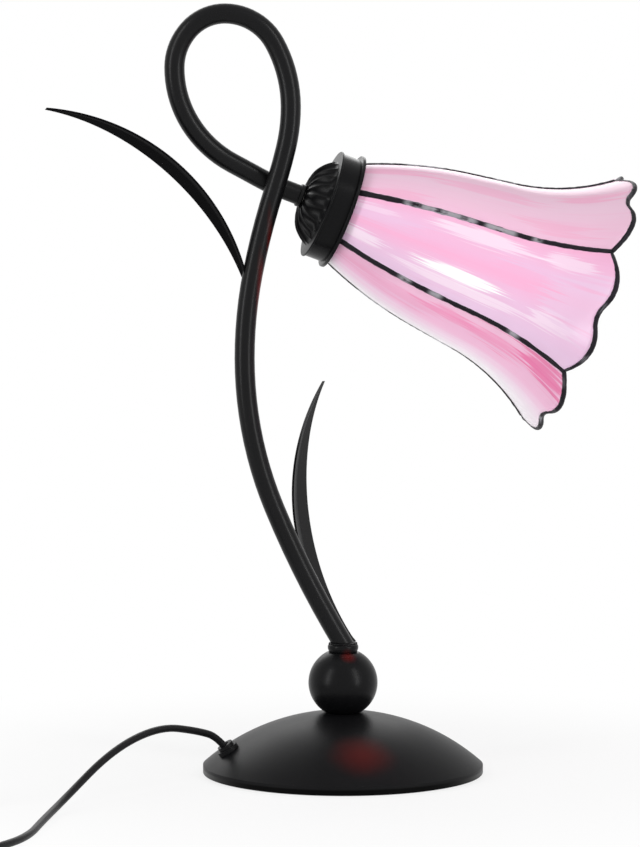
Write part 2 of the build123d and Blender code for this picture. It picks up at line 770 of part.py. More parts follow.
def wall_line(inset, lead, reach):
    """The petal's wall in profile: bell arc, straight waist, flare arc.

    inset is the depth below the outer face, lead how far the line starts before the neck end,
    and reach the station where the flare ends.
    """
    neck = math.radians(NECK_ANGLE)
    waist = math.radians(WAIST_ANGLE)
    start = neck + lead / BELL_RADIUS
    bell_x = NECK_END_RADIUS - BELL_RADIUS * math.cos(neck)
    bell_y = shade_start + BELL_RADIUS * math.sin(neck)
    bell = BELL_RADIUS - inset
    flare = FLARE_RADIUS + inset
    foot = (bell_x + bell * math.cos(start), bell_y - bell * math.sin(start))
    waist_x = bell_x + bell * math.cos(waist)
    waist_y = bell_y - bell * math.sin(waist)
    waist_run = shade_start + NOTCH_LENGTH - FLARE_DEPTH - bell_y + BELL_RADIUS * math.sin(waist)
    flare_x = waist_x + waist_run * math.tan(waist)
    flare_y = waist_y + waist_run
    end = math.asin(math.sin(waist) + (reach - flare_y) / flare)
    end_x = flare_x + flare * (math.cos(waist) - math.cos(end))
    JernArc(foot, (math.sin(start), math.cos(start)), bell, math.degrees(start - waist))
    Line((waist_x, waist_y), (flare_x, flare_y))
    JernArc((flare_x, flare_y), (math.sin(waist), math.cos(waist)), flare, math.degrees(waist - end))
    return foot, (end_x, reach)


mouth = shade_start + NOTCH_LENGTH + LOBE_RADIUS
wall_lead = 2 * GLASS_THICK
petal_turn = 360 / PETALS


def petal_wall(angle, outer, inner):
    """One petal's share of the shade wall, a little wider than the petal."""
    with BuildPart() as wall:
        with BuildSketch(head_profile(angle - petal_turn / 2 - PETAL_SPARE)):
            with BuildLine():
                outer_foot, outer_end = wall_line(outer, wall_lead, mouth)
                inner_foot, inner_end = wall_line(inner, wall_lead, mouth)
                Line(outer_foot, inner_foot)
                Line(outer_end, inner_end)
            make_face()
        revolve(axis=head_turn, revolution_arc=petal_turn + 2 * PETAL_SPARE)
    return wall


def petal_sector(angle, gap):
    """The wedge between two seams, less half a seam gap on each side, from the neck plate out."""
    half = math.radians(petal_turn / 2)
    apex = gap / 2 / math.sin(half)
    side = 2 * NOTCH_LENGTH
    with BuildPart() as sector:
        with BuildSketch(head_section(shade_start, angle)):
            with BuildLine():
                Polyline(
                    (apex, 0),
                    (apex + side * math.cos(half), side * math.sin(half)),
                    (apex + side * math.cos(half), -side * math.sin(half)),
                    close=True,
                )
            make_face()
        extrude(amount=side)
    return sector


def lip_form(angle, inset):
    """Everything behind a petal's lip: two lobes with a notch between, moved in by the inset."""
    radial = head_radial(angle)
    notch = shade_start + NOTCH_LENGTH - inset
    facing = Plane(origin=stem_end, x_dir=head_axis.cross(radial), z_dir=radial)
    with BuildPart() as form:
        with BuildSketch(facing):
            with BuildLine():
                dip = JernArc((0, notch), (1, 0), NOTCH_RADIUS + inset, NOTCH_ANGLE)
                lobe = JernArc(dip @ 1, dip % 1, LOBE_RADIUS - inset, -NOTCH_ANGLE - LOBE_SWEEP)
                corner = lobe @ 1
                Line(corner, (corner.X, 0))
                Line((corner.X, 0), (0, 0))
                mirror(about=Plane.YZ)
            make_face()
        extrude(amount=NOTCH_LENGTH)
    return form


petals = []
for number in range(1, PETALS + 1):
    angle = PETAL_CLOCK + petal_turn * (number - 1)
    with BuildPart() as glass_petal:
        add(petal_wall(angle, 0, GLASS_THICK).part)
        add(petal_sector(angle, SEAM_GAP).part, mode=Mode.INTERSECT)
        add(lip_form(angle, FOIL_EDGE).part, mode=Mode.INTERSECT)
    save(glass_petal, f"glass_petal_{number}")
    petals.append(glass_petal)

# Foil channel folded over each petal's lip
for number in range(1, PETALS + 1):
    angle = PETAL_CLOCK + petal_turn * (number - 1)
    with BuildPart() as lip_foil:
        add(petal_wall(angle, -FOIL_PROUD, GLASS_THICK + FOIL_PROUD).part)
        add(petal_sector(angle, 0).part, mode=Mode.INTERSECT)
        add(lip_form(angle, 0).part, mode=Mode.INTERSECT)
        add(lip_form(angle, FOIL_WIDTH).part, mode=Mode.SUBTRACT)
        add(petals[number - 1].part, mode=Mode.SUBTRACT)
    save(lip_foil, f"lip_foil_{number}")

# Solder bead along each seam, round the edges of the two petals that it joins
seam_reach = shade_start + NOTCH_LENGTH - SEAM_DROP
for number in range(1, PETALS + 1):
    angle = PETAL_CLOCK + petal_turn * (number - 0.5)
    profile = head_profile(angle)
    with BuildPart() as solder_seam:
        with BuildLine(profile) as seam_line:
            wall_line(GLASS_THICK / 2, -SEAM_START, seam_reach)
        with BuildSketch(Plane(origin=seam_line.line @ 0, z_dir=seam_line.line % 0)):
            Circle(SEAM_RADIUS)
        sweep()
        add(petals[number - 1].part, mode=Mode.SUBTRACT)
        add(petals[number % PETALS].part, mode=Mode.SUBTRACT)
    save(solder_seam, f"solder_seam_{number}")

# Two-tier bushing in the dome
cord_hole = CORD_RADIUS + SLIP_CLEAR
cord_bushing = turned(
    Plane(origin=bushing_seat, x_dir=bushing_side, z_dir=bushing_side.cross(bushing_axis)),
    Axis(bushing_seat, bushing_axis),
    [
        (cord_hole, -BUSHING_SHANK),
        (BUSHING_SHANK_RADIUS - THREAD_CLEAR, -BUSHING_SHANK),
        (BUSHING_SHANK_RADIUS - THREAD_CLEAR, 0),
        (BUSHING_RADIUS, 0),
        (BUSHING_RADIUS, BUSHING_FLANGE),
        (BUSHING_CROWN_RADIUS, BUSHING_FLANGE),
        (BUSHING_CROWN_RADIUS, BUSHING_CROWN),
        (cord_hole, BUSHING_CROWN),
    ],
)
save(cord_bushing, "cord_bushing")

# Cord from the base to the switch
cord_start = bushing_seat - bushing_axis * CORD_INSIDE
cord_bend = bushing_seat + bushing_axis * CORD_RISE
switch_entry = Vector(SWITCH_X, SWITCH_Y, SWITCH_PARTING)
switch_turn = switch_entry - Vector(0, SWITCH_LEAD_IN, 0)
cord_run_1 = cord_tube([cord_start, cord_bend, *CORD_ROUTE, switch_turn, switch_entry], "cord_run_1")
save(cord_run_1, "cord_run_1")

# In-line switch: a rounded body parted at the cord, with a well for the rocker
switch_middle = SWITCH_Y + SLEEVE_LENGTH + SWITCH_LENGTH / 2
switch_exit_y = SWITCH_Y + SWITCH_LENGTH + 2 * SLEEVE_LENGTH
well_length = ROCKER_LENGTH + 2 * ROCKER_CLEAR
well_width = ROCKER_WIDTH + 2 * SLIP_CLEAR
pivot = Vector(SWITCH_X, switch_middle, ROCKER_PIVOT_Z)


def switch_half(keep):
    with BuildPart() as half:
        with BuildSketch(Plane(origin=(SWITCH_X, switch_middle, 0), x_dir=(0, 1, 0), z_dir=(0, 0, 1))):
            SlotOverall(SWITCH_LENGTH, SWITCH_WIDTH)
        extrude(amount=SWITCH_HEIGHT)
        fillet(half.edges().group_by(Axis.Z)[0], SWITCH_ROUND)
        fillet(half.edges().group_by(Axis.Z)[-1], SWITCH_ROUND)
        with BuildSketch(Plane(origin=(SWITCH_X, SWITCH_Y, SWITCH_PARTING), z_dir=(0, 1, 0))):
            Circle(SLEEVE_RADIUS)
        extrude(amount=SWITCH_LENGTH + 2 * SLEEVE_LENGTH)
        with BuildSketch(Plane(origin=(SWITCH_X, switch_middle, SWITCH_WELL_FLOOR), z_dir=(0, 0, 1))):
            Rectangle(well_width, well_length)
        extrude(amount=SWITCH_HEIGHT, mode=Mode.SUBTRACT)
        with BuildSketch(Plane(origin=pivot, z_dir=(1, 0, 0))):
            Circle(TRUNNION_RADIUS + SLIP_CLEAR / 2)
        extrude(amount=ROCKER_WIDTH / 2 + TRUNNION_LENGTH + SLIP_CLEAR, both=True, mode=Mode.SUBTRACT)
        for way in (-1, 1):
            screw_at = (SWITCH_X, switch_middle + way * SCREW_OFFSET, 0)
            with BuildSketch(Plane(origin=screw_at, z_dir=(0, 0, 1))):
                Circle(SCREW_RADIUS + THREAD_CLEAR)
            extrude(amount=SCREW_LENGTH + THREAD_CLEAR, mode=Mode.SUBTRACT)
            with BuildSketch(Plane(origin=screw_at, z_dir=(0, 0, 1))):
                Circle(SCREW_HEAD_RADIUS + THREAD_CLEAR)
            extrude(amount=SCREW_HEAD, mode=Mode.SUBTRACT)
        split(bisect_by=Plane.XY.offset(SWITCH_PARTING), keep=keep)
    return half


switch_base = switch_half(Keep.BOTTOM)
save(switch_base, "switch_base")
switch_cover = switch_half(Keep.TOP)
save(switch_cover, "switch_cover")

for number, way in ((1, -1), (2, 1)):
    with BuildPart() as switch_screw:
        screw_at = (SWITCH_X, switch_middle + way * SCREW_OFFSET, SCREW_HEAD)
        with BuildSketch(Plane(origin=screw_at, z_dir=(0, 0, 1))):
            Circle(SCREW_RADIUS)
        extrude(amount=SCREW_LENGTH - SCREW_HEAD)
        with BuildSketch(Plane(origin=screw_at, z_dir=(0, 0, -1))):
            Circle(SCREW_HEAD_RADIUS)
        extrude(amount=SCREW_HEAD - THREAD_CLEAR)
    save(switch_screw, f"switch_screw_{number}")

# Rocker on two trunnions, at rest with its far end pressed
rest_turn = math.radians(ROCKER_THROW / 2)
rocker_long = Vector(0, math.cos(rest_turn), -math.sin(rest_turn))
with BuildPart() as switch_rocker:
    with BuildSketch(Plane(origin=pivot, x_dir=rocker_long, z_dir=(1, 0, 0))):
        with BuildLine():
            Polyline(
                (-ROCKER_LENGTH / 2, ROCKER_TOP),
                (0, ROCKER_TOP - ROCKER_DIP),
                (ROCKER_LENGTH / 2, ROCKER_TOP),
                (ROCKER_LENGTH / 2 - ROCKER_DIP, -ROCKER_BOTTOM),
                (-ROCKER_LENGTH / 2 + ROCKER_DIP, -ROCKER_BOTTOM),
                close=True,
            )
        make_face()
    extrude(amount=ROCKER_WIDTH / 2, both=True)
    with BuildSketch(Plane(origin=pivot, z_dir=(1, 0, 0))):
        Circle(TRUNNION_RADIUS)
    extrude(amount=ROCKER_WIDTH / 2 + TRUNNION_LENGTH, both=True)
save(switch_rocker, "switch_rocker")

# Coil of spare cord: layers spiral in and out, and climb where the spiral turns back
coil_base = TIE_THICK + TIE_CLEAR + CORD_RADIUS
quarters_in_turn = 4
coil_nodes = []
coil_radius = COIL_INNER + COIL_PITCH * COIL_LAYERS[0]
coil_start_radius = coil_radius
quarter = 0
coil_z = coil_base
moves = []
for layer, turns in enumerate(COIL_LAYERS):
    inward = -1 if layer % 2 == 0 else 1
    moves += [(inward * COIL_PITCH / quarters_in_turn, 0)] * round(turns * quarters_in_turn)
    if layer + 1 < len(COIL_LAYERS):
        climb_quarters = round(COIL_CLIMB * quarters_in_turn)
        moves += [(0, COIL_PITCH / climb_quarters)] * climb_quarters
moves.append((0, 0))
last_step = (0, 0)
for step in moves:
    turn = math.pi - quarter * 2 * math.pi / quarters_in_turn
    out = Vector(math.cos(turn), math.sin(turn), 0)
    ahead = Vector(math.sin(turn), -math.cos(turn), 0)
    per_quarter = 2 * math.pi / quarters_in_turn * coil_radius
    drift = out * ((step[0] + last_step[0]) / 2) + Vector(0, 0, (step[1] + last_step[1]) / 2)
    at_an_end = quarter in (0, len(moves) - 1)
    heading = ahead if at_an_end else ahead * per_quarter + drift
    coil_nodes.append((Vector(COIL_X, COIL_Y, coil_z) + out * coil_radius, heading.normalized()))
    coil_radius += step[0]
    coil_z += step[1]
    quarter += 1
    last_step = step
coil_in, coil_in_way = coil_nodes[0]
coil_out, coil_out_way = coil_nodes[-1]
coil_straight = 2 * CORD_RADIUS
coil_entry = coil_in - coil_in_way * coil_straight
coil_exit = coil_out + coil_out_way * coil_straight
with BuildPart() as cord_coil:
    with BuildLine() as coil_line:
        Line(coil_entry, coil_in)
        arcs_through(coil_nodes)
        Line(coil_out, coil_exit)
    with BuildSketch(Plane(origin=coil_entry, z_dir=coil_in_way)):
        Circle(CORD_RADIUS)
    sweep()
save(cord_coil, "cord_coil")
coil_length = sum(edge.length for edge in coil_line.edges())
samples_per_arc = 8
track = []
for edge in coil_line.edges():
    track += [edge @ (i / samples_per_arc) for i in range(samples_per_arc)]
spacing = coil_length / len(track)
apart = math.ceil(math.pi * COIL_INNER / spacing)
least = min((a - b).length for i, a in enumerate(track) for b in track[i + apart :])
print("cord_coil length", round(coil_length, 1), "least gap to itself", round(least - 2 * CORD_RADIUS, 2))
print(
    "cord_coil volume over section times length",
    round(cord_coil.part.volume / (math.pi * CORD_RADIUS**2 * coil_length), 5),
)

# Tie round the bundle, on the side towards the lamp
bundle_inside = COIL_INNER - CORD_RADIUS - TIE_CLEAR
bundle_outside = coil_start_radius + CORD_RADIUS + TIE_CLEAR
bundle_top = coil_base + COIL_PITCH * (len(COIL_LAYERS) - 1) + CORD_RADIUS + TIE_CLEAR
tie_middle = COIL_X + (bundle_inside + bundle_outside) / 2
tie_across = bundle_outside - bundle_inside
tie_tall = bundle_top - TIE_THICK
tie_centre = (tie_middle, COIL_Y, TIE_THICK + tie_tall / 2)
with BuildPart() as cord_tie:
    with BuildSketch(Plane(origin=tie_centre, x_dir=(1, 0, 0), z_dir=(0, -1, 0))):
        RectangleRounded(tie_across + 2 * TIE_THICK, tie_tall + 2 * TIE_THICK, CORD_RADIUS)
        RectangleRounded(tie_across, tie_tall, CORD_RADIUS - TIE_THICK, mode=Mode.SUBTRACT)
    extrude(amount=TIE_WIDTH / 2, both=True)
save(cord_tie, "cord_tie")

# Short runs from the switch to the coil, and from the coil to the plug
plug_z = PLUG_THICK / 2
switch_exit = (SWITCH_X, switch_exit_y, SWITCH_PARTING)
run_2_drop = (SWITCH_X, switch_exit_y + SWITCH_LEAD_OUT, SWITCH_PARTING)
run_2_land = coil_entry - coil_in_way * COIL_LEAD_IN
cord_run_2 = cord_tube([switch_exit, run_2_drop, run_2_land, coil_entry], "cord_run_2")
save(cord_run_2, "cord_run_2")
plug_entry = Vector(coil_exit.X, PLUG_Y, plug_z)
run_3_drop = coil_exit + coil_out_way * COIL_LEAD_OUT
run_3_land = plug_entry - Vector(0, PLUG_LEAD_IN, 0)
cord_run_3 = cord_tube([coil_exit, run_3_drop, run_3_land, plug_entry], "cord_run_3")
save(cord_run_3, "cord_run_3")

# Flat two-pin plug with a tapered strain relief
relief_end = PLUG_Y + RELIEF_LENGTH
plug_front = relief_end + PLUG_LENGTH
plug_plane = Plane(origin=(plug_entry.X, relief_end, 0), z_dir=(0, 0, 1))
with BuildPart() as plug_body:
    with BuildSketch(plug_plane):
        with BuildLine():
            Polyline(
                (-RELIEF_RADIUS - PLUG_ROUND, 0),
                (-PLUG_WIDTH / 2, PLUG_LENGTH / 2),
                (-PLUG_NOSE / 2, PLUG_LENGTH),
                (PLUG_NOSE / 2, PLUG_LENGTH),
                (PLUG_WIDTH / 2, PLUG_LENGTH / 2),
                (RELIEF_RADIUS + PLUG_ROUND, 0),
                close=True,
            )
        make_face()
    extrude(amount=PLUG_THICK)
    fillet(plug_body.edges().filter_by(Axis.Z), PLUG_ROUND)
    fillet(plug_body.edges().group_by(Axis.Z)[0], PLUG_ROUND / 2)
    fillet(plug_body.edges().group_by(Axis.Z)[-1], PLUG_ROUND / 2)
    with BuildSketch(Plane(origin=plug_entry, z_dir=(0, 1, 0))):
        Circle(RELIEF_TIP_RADIUS)
    with BuildSketch(Plane(origin=(plug_entry.X, relief_end + PLUG_ROUND, plug_z), z_dir=(0, 1, 0))):
        Circle(RELIEF_RADIUS)
    loft()
save(plug_body, "plug_body")

for number, way in ((1, -1), (2, 1)):
    with BuildPart() as plug_pin:
        pin_at = (plug_entry.X + way * PIN_SPACING / 2, plug_front, plug_z)
        with BuildSketch(Plane(origin=pin_at, z_dir=(0, 1, 0))):
            Circle(PIN_RADIUS)
        extrude(amount=PIN_LENGTH)
        fillet(plug_pin.edges().group_by(Axis.Y)[-1], PIN_ROUND)
    save(plug_pin, f"plug_pin_{number}")
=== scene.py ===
import math

import bmesh
import bpy
from mathutils import Matrix, Vector, noise


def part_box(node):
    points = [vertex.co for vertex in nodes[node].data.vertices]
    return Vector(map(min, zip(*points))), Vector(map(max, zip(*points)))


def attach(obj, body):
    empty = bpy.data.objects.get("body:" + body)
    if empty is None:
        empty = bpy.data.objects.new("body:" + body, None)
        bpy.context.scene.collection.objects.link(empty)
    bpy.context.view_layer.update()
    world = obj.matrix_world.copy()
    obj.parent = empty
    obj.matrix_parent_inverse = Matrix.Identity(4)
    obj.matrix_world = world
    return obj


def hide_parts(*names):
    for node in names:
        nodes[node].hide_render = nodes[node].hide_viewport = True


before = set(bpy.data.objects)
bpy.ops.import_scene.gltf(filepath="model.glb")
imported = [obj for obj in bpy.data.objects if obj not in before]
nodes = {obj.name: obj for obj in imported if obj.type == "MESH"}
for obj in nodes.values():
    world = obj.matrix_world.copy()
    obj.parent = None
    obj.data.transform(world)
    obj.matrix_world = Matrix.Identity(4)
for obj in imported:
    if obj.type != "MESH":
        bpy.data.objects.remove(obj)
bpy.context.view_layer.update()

# Felt pad
# A disc of pressed wool felt, glued under the base so that the iron doesn't scratch the table.
# Its fibres lie every way, so it is dull, and a little lighter where they stand up.


class Shade:
    """One output in a material's nodes. Arithmetic on it adds Math nodes."""

    def __init__(self, tree, socket=None):
        self.tree = tree
        self.socket = socket

    def node(self, kind, inputs=(), out=0, stops=(), **settings):
        """Adds a node: its settings first, then the values or links of its sockets."""
        made = self.tree.nodes.new("ShaderNode" + kind)
        for name, value in settings.items():
            setattr(made, name, value)
        for place, (position, colour) in enumerate(stops):
            ramp = made.color_ramp.elements
            stop = ramp[place] if place < 2 else ramp.new(position)
            stop.position = position
            stop.color = (*colour, 1)
        for name, value in dict(inputs).items():
            socket = made.inputs[name]
            if isinstance(value, Shade):
                self.tree.links.new(value.socket, socket)
            elif socket.type == "RGBA":
                socket.default_value = (*value, 1)
            else:
                socket.default_value = value
        return Shade(self.tree, made.outputs[out])

    def math(self, operation, first, second):
        return self.node("Math", {0: first, 1: second}, operation=operation)

    def __add__(self, other):
        return self.math("ADD", self, other)

    __radd__ = __add__

    def __sub__(self, other):
        return self.math("SUBTRACT", self, other)

    def __rsub__(self, other):
        return self.math("SUBTRACT", other, self)

    def __mul__(self, other):
        return self.math("MULTIPLY", self, other)

    __rmul__ = __mul__

    def between(self, low, high):
        """0 below low, 1 above high, and a smooth step from one to the other."""
        limits = {"Value": self, "From Min": low, "From Max": high}
        return self.node("MapRange", limits, interpolation_type="SMOOTHSTEP")

    def mix(self, under, over):
        """The colour under where this mask is 0, and the colour over where it is 1."""
        return self.node("Mix", {0: self, 6: under, 7: over}, out=2, data_type="RGBA")

    def grain(self, scale, detail=2.0, distortion=0.0):
        """Cloudy noise on these coordinates, from 0 to 1."""
        looks = {"Vector": self, "Scale": scale, "Detail": detail, "Distortion": distortion}
        return self.node("TexNoise", looks)

    def away_from(self, centre, reach):
        """Distance from a centre, where each axis counts in its own reach."""
        offset = self.node("VectorMath", {0: self, 1: centre}, operation="SUBTRACT")
        share = self.node("VectorMath", {0: offset, 1: [1 / r for r in reach]}, operation="MULTIPLY")
        return self.node("VectorMath", {0: share}, out="Value", operation="LENGTH")


class Finish:
    """A material with one Principled shader."""

    def __init__(self, name, **constants):
        self.material = bpy.data.materials.new(name)
        self.material.use_nodes = True
        self.shader = self.material.node_tree.nodes["Principled BSDF"]
        self.start = Shade(self.material.node_tree)
        for socket, value in constants.items():
            self.set(socket.replace("_", " "), value)

    def coords(self, kind="Object"):
        return self.start.node("TexCoord", out=kind)

    def set(self, socket, value):
        if isinstance(value, Shade):
            self.material.node_tree.links.new(value.socket, self.shader.inputs[socket])
        elif isinstance(value, tuple):
            self.shader.inputs[socket].default_value = (*value, 1)
        else:
            self.shader.inputs[socket].default_value = value

    def bump(self, height, distance, strength=1.0):
        bumps = {"Height": height, "Distance": distance, "Strength": strength}
        self.set("Normal", self.start.node("Bump", bumps))

    def dress(self, *names):
        for name in names:
            slots = nodes[name].data.materials
            slots.clear()
            slots.append(self.material)


FELT_DEEP = (0.010, 0.010, 0.011)
FELT_RAISED = (0.035, 0.034, 0.036)
felt = Finish("pressed_felt", Roughness=0.95)
fibres = felt.coords().grain(scale=1400, detail=4)
felt.set("Base Color", fibres.between(0.35, 0.75).mix(FELT_DEEP, FELT_RAISED))
felt.bump(fibres, distance=0.0004)
felt.dress("base_felt")

# Iron weight
# A grey-iron casting with a hub and a nut recess, left as it came from the sand.
# It has a dark scale with rusty freckles.
IRON_SCALE = (0.055, 0.053, 0.052)
IRON_RUST = (0.12, 0.055, 0.03)
iron = Finish("cast_iron", Metallic=0.7, Roughness=0.72)
sand = iron.coords().grain(scale=420, detail=5)
freckles = iron.coords().grain(scale=130, detail=3).between(0.58, 0.72)
iron.set("Base Color", freckles.mix(IRON_SCALE, IRON_RUST))
iron.bump(sand, distance=0.0005)
iron.dress("base_weight")

# Tie rod, nut, washer and nipple
# Rolled steel thread and turned steel, zinc plated, with a faint cloudy passivation. They clamp
# the base and carry the head, and the two screws of the switch have the same plating.
ZINC_GREY = (0.50, 0.50, 0.48)
ZINC_STRAW = (0.66, 0.64, 0.58)
zinc = Finish("zinc_plate", Metallic=1.0)
cloud = zinc.coords().grain(scale=160, detail=3)
zinc.set("Base Color", cloud.mix(ZINC_GREY, ZINC_STRAW))
zinc.set("Roughness", 0.3 + 0.15 * cloud)
zinc.dress("tie_rod", "base_nut", "base_washer", "end_nipple", "switch_screw_1", "switch_screw_2")

# Spun dome
# A steel disc spun over a former to a shallow cap, with a rolled rim, sprayed with satin black
# lacquer. A soft dark red patch lies on its front, and the foot of the rim is given a painted shade.
# a dark red, for soft patches on the dome and the ball, and for a painted reflection of the pink shade on
# the stem
RED_TINT_AND_REFLECTION = (0.100, 0.005, 0.003)
PAINTED_RIM_SHADE = (0.004, 0.004, 0.004)
LACQUER_THICK = (0.0030, 0.0030, 0.0034)
LACQUER_THIN = (0.0058, 0.0058, 0.0063)
LACQUER_CLOUDS = 38
PATCH_WAVER = 0.35
CLOUD_ROUGHNESS = 0.08
GRAIN_ROUGHNESS = 0.06
# heights below which the dome's rim gets a painted shade
DOME_SHADED_RIM = (0.0032, 0.0040)


def lacquer(name, rough, grain_size, grain_depth, patches=(), sheen=0.085, shaded_rim=None):
    """Satin black lacquer; each red patch has a centre, a reach and a strength.

    Below the heights of a shaded rim, the colour turns to a painted shade: near-black and fully metallic,
    so it mirrors almost nothing.
    """
    coat = Finish(name, Specular_IOR_Level=sheen)
    place = coat.coords()
    cloud = place.grain(scale=LACQUER_CLOUDS, detail=3)
    grain = place.grain(scale=1 / grain_size, detail=2)
    colour = cloud.mix(LACQUER_THICK, LACQUER_THIN)
    for patch in patches:
        away = place.away_from(patch["centre"], patch["reach"])
        near = 1 - (away + PATCH_WAVER * (cloud - 0.5)).between(0.0, 1.0)
        colour = (near * patch["strength"]).mix(colour, RED_TINT_AND_REFLECTION)
    # painted shade: the foot of the rim is made near-black and metallic, as if it lay in its own shadow
    if shaded_rim:
        edge = 1 - coat.start.node("SeparateXYZ", {0: place}, out="Z").between(*shaded_rim)
        colour = edge.mix(colour, PAINTED_RIM_SHADE)
        coat.set("Metallic", edge)
    coat.set("Base Color", colour)
    coat.set("Roughness", rough + CLOUD_ROUGHNESS * (cloud - 0.5) + GRAIN_ROUGHNESS * (grain - 0.5))
    coat.bump(grain, grain_depth)
    return coat


dome_patch = dict(centre=(0.0030, -0.0595, 0.0200), reach=(0.023, 0.023, 0.023), strength=0.55)
dome_coat = lacquer(
    "dome_lacquer", rough=0.40, grain_size=0.0011, grain_depth=0.00003,
    patches=[dome_patch], sheen=0.075, shaded_rim=DOME_SHADED_RIM,
)
dome_coat.dress("base_dome")

# Ball and collar
# A steel ball between two flats, and the turned collar that the stem is welded to. Both are
# lacquered after welding, thicker than the dome, so they shine a little more.
ball_patch = dict(centre=(0.0016, -0.0113, 0.0693), reach=(0.0058, 0.0058, 0.0058), strength=0.75)
ball_coat = lacquer(
    "ball_lacquer", rough=0.30, grain_size=0.0016, grain_depth=0.00002,
    patches=[ball_patch], sheen=0.095,
)
ball_coat.dress("ball", "foot_collar")

# Looped stem
# One length of steel tube, bent round a former into an open loop that passes beside itself.
# The lacquer is dusted on, and a painted reflection of the pink shade runs red along the edge that faces
# it.
# painted reflection: red patches along the stem's edge that faces the shade stand in for its mirrored glow
stem_shade_reflections = [
    dict(centre=(-0.0432, 0.0, 0.310), reach=(0.0028, 0.012, 0.026), strength=0.7),
    dict(centre=(-0.0485, 0.0, 0.276), reach=(0.0034, 0.012, 0.042), strength=1.0),
]
stem_coat = lacquer(
    "stem_lacquer", rough=0.29, grain_size=0.0016, grain_depth=0.000002,
    patches=stem_shade_reflections, sheen=0.14,
)
stem_coat.dress("stem_tube", "stem_ferrule")

# Weld at the collar
# The tube is welded to its collar with a bead of small overlapping runs, dressed with a file
# and lacquered over with the rest.


def make_piece(name, shape, finish, stands_for=(), sharp=40):
    """Turns a bmesh into a piece of the lamp that rides on its body."""
    mesh = bpy.data.meshes.new(name)
    shape.to_mesh(mesh)
    shape.free()
    mesh.polygons.foreach_set("use_smooth", [True] * len(mesh.polygons))
    mesh.set_sharp_from_angle(angle=math.radians(sharp))
    mesh.materials.append(finish.material)
    made = bpy.data.objects.new(name, mesh)
    bpy.context.scene.collection.objects.link(made)
    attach(made, "lamp")
    if stands_for:
        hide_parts(*stands_for)
    return made


TUBE_RADIUS = 0.0058
STEM_LEAN = math.radians(31)
BEAD_RADIUS = 0.0009
BEAD_SIDES = 10
BEAD_STEPS = 72
RUN_DEPTH = 0.45
RUNS_ROUND = 5
RUNS_ALONG = 300
collar_low, collar_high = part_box("foot_collar")
collar_middle = (collar_low + collar_high) / 2
bead = bmesh.new()
stand = Matrix.Translation((TUBE_RADIUS + BEAD_RADIUS / 2, 0, 0)) @ Matrix.Rotation(math.pi / 2, 4, "X")
bmesh.ops.create_circle(bead, segments=BEAD_SIDES, radius=BEAD_RADIUS, matrix=stand)
bmesh.ops.spin(
    bead, geom=bead.verts[:] + bead.edges[:], cent=(0, 0, 0), axis=(0, 0, 1),
    angle=2 * math.pi, steps=BEAD_STEPS, use_merge=True,
)
bmesh.ops.recalc_face_normals(bead, faces=bead.faces)
for vert in bead.verts:
    turn = math.atan2(vert.co.y, vert.co.x)
    runs = noise.noise(Vector((turn * RUNS_ROUND, vert.co.z * RUNS_ALONG, 0)))
    vert.co += vert.normal * BEAD_RADIUS * RUN_DEPTH * runs
    vert.co.x /= math.cos(STEM_LEAN)
foot = Vector((collar_middle.x, collar_middle.y, collar_high.z))
bmesh.ops.translate(bead, verts=bead.verts, vec=foot)
weld_coat = lacquer("weld_lacquer", rough=0.34, grain_size=0.0009, grain_depth=0.00009)
make_piece("collar_weld", bead, weld_coat, sharp=80)

# Leaves
# Two blades cut from sheet, creased along the middle, bent to an arc and welded by their feet.
# Both have the same lacquer: the upper one is given almost no gloss, a painted shade, and the lower one
# more gloss, a painted sheen.
upper_leaf_shade_coat = lacquer("upper_leaf_shade_lacquer", rough=0.46, grain_size=0.0009, grain_depth=0.00003, sheen=0.01)
upper_leaf_shade_coat.dress("upper_leaf")
lower_leaf_sheen_coat = lacquer("leaf_lacquer", rough=0.32, grain_size=0.0009, grain_depth=0.00003, sheen=0.17)
lower_leaf_sheen_coat.dress("lower_leaf")

# Head
# Everything above the stem lies on one tilted axis, from the end of the stem to the mouth of
# the shade. The head's own axes are up, near (towards the viewer's side) and along the shade.
HEAD_TILT = math.radians(21)
ferrule_low, ferrule_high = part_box("stem_ferrule")
FERRULE_LENGTH = 0.0028
head_axis = Vector((math.cos(HEAD_TILT), 0, -math.sin(HEAD_TILT)))
head_up = Vector((math.sin(HEAD_TILT), 0, math.cos(HEAD_TILT)))
head_near = head_axis.cross(head_up)
head_start = (ferrule_low + ferrule_high) / 2 - head_axis * (FERRULE_LENGTH / 2)
head = Matrix.Translation(head_start) @ Matrix((head_up, head_near, head_axis)).transposed().to_4x4()

# Fluted cap and fitter ring
# The cap is cast with flutes that run from the ferrule to a flat brim, and the ring behind the
# shade's neck is spun, with a rolled front lip. Both are lacquered like the stem.


def tube_blank(sides, rings):
    """A closed tube of radius 1 from z = 0 to z = 1, with rings of quads along it."""
    blank = bmesh.new()
    bmesh.ops.create_cone(blank, cap_ends=True, segments=sides, radius1=1, radius2=1, depth=1)
    bmesh.ops.translate(blank, verts=blank.verts, vec=(0, 0, 0.5))
    along = [e for e in blank.edges if abs(e.verts[0].co.z - e.verts[1].co.z) > 0.5]
    bmesh.ops.subdivide_edges(blank, edges=along, cuts=rings - 1, use_grid_fill=True)
    return blank


FLUTES = 22
FLUTE_DEPTH = 0.0015
CAP_TOP = FERRULE_LENGTH
CAP_DEPTH = 0.0118
CAP_TOP_RADIUS = 0.0070
CAP_RADIUS = 0.0257
CAP_BULGE = 0.0036
FLUTE_SIDES = 12
FLUTE_ROUNDNESS = 2.2
FLUTE_SINK = 0.35
FLUTE_AT_TOP = 0.25
FLUTE_END = 0.10
CAP_RINGS = 22
BRIM_RADIUS = 0.0320
BRIM_THICK = 0.0012
BRIM_SIDES = 128
BRIM_ROUND = 0.0004
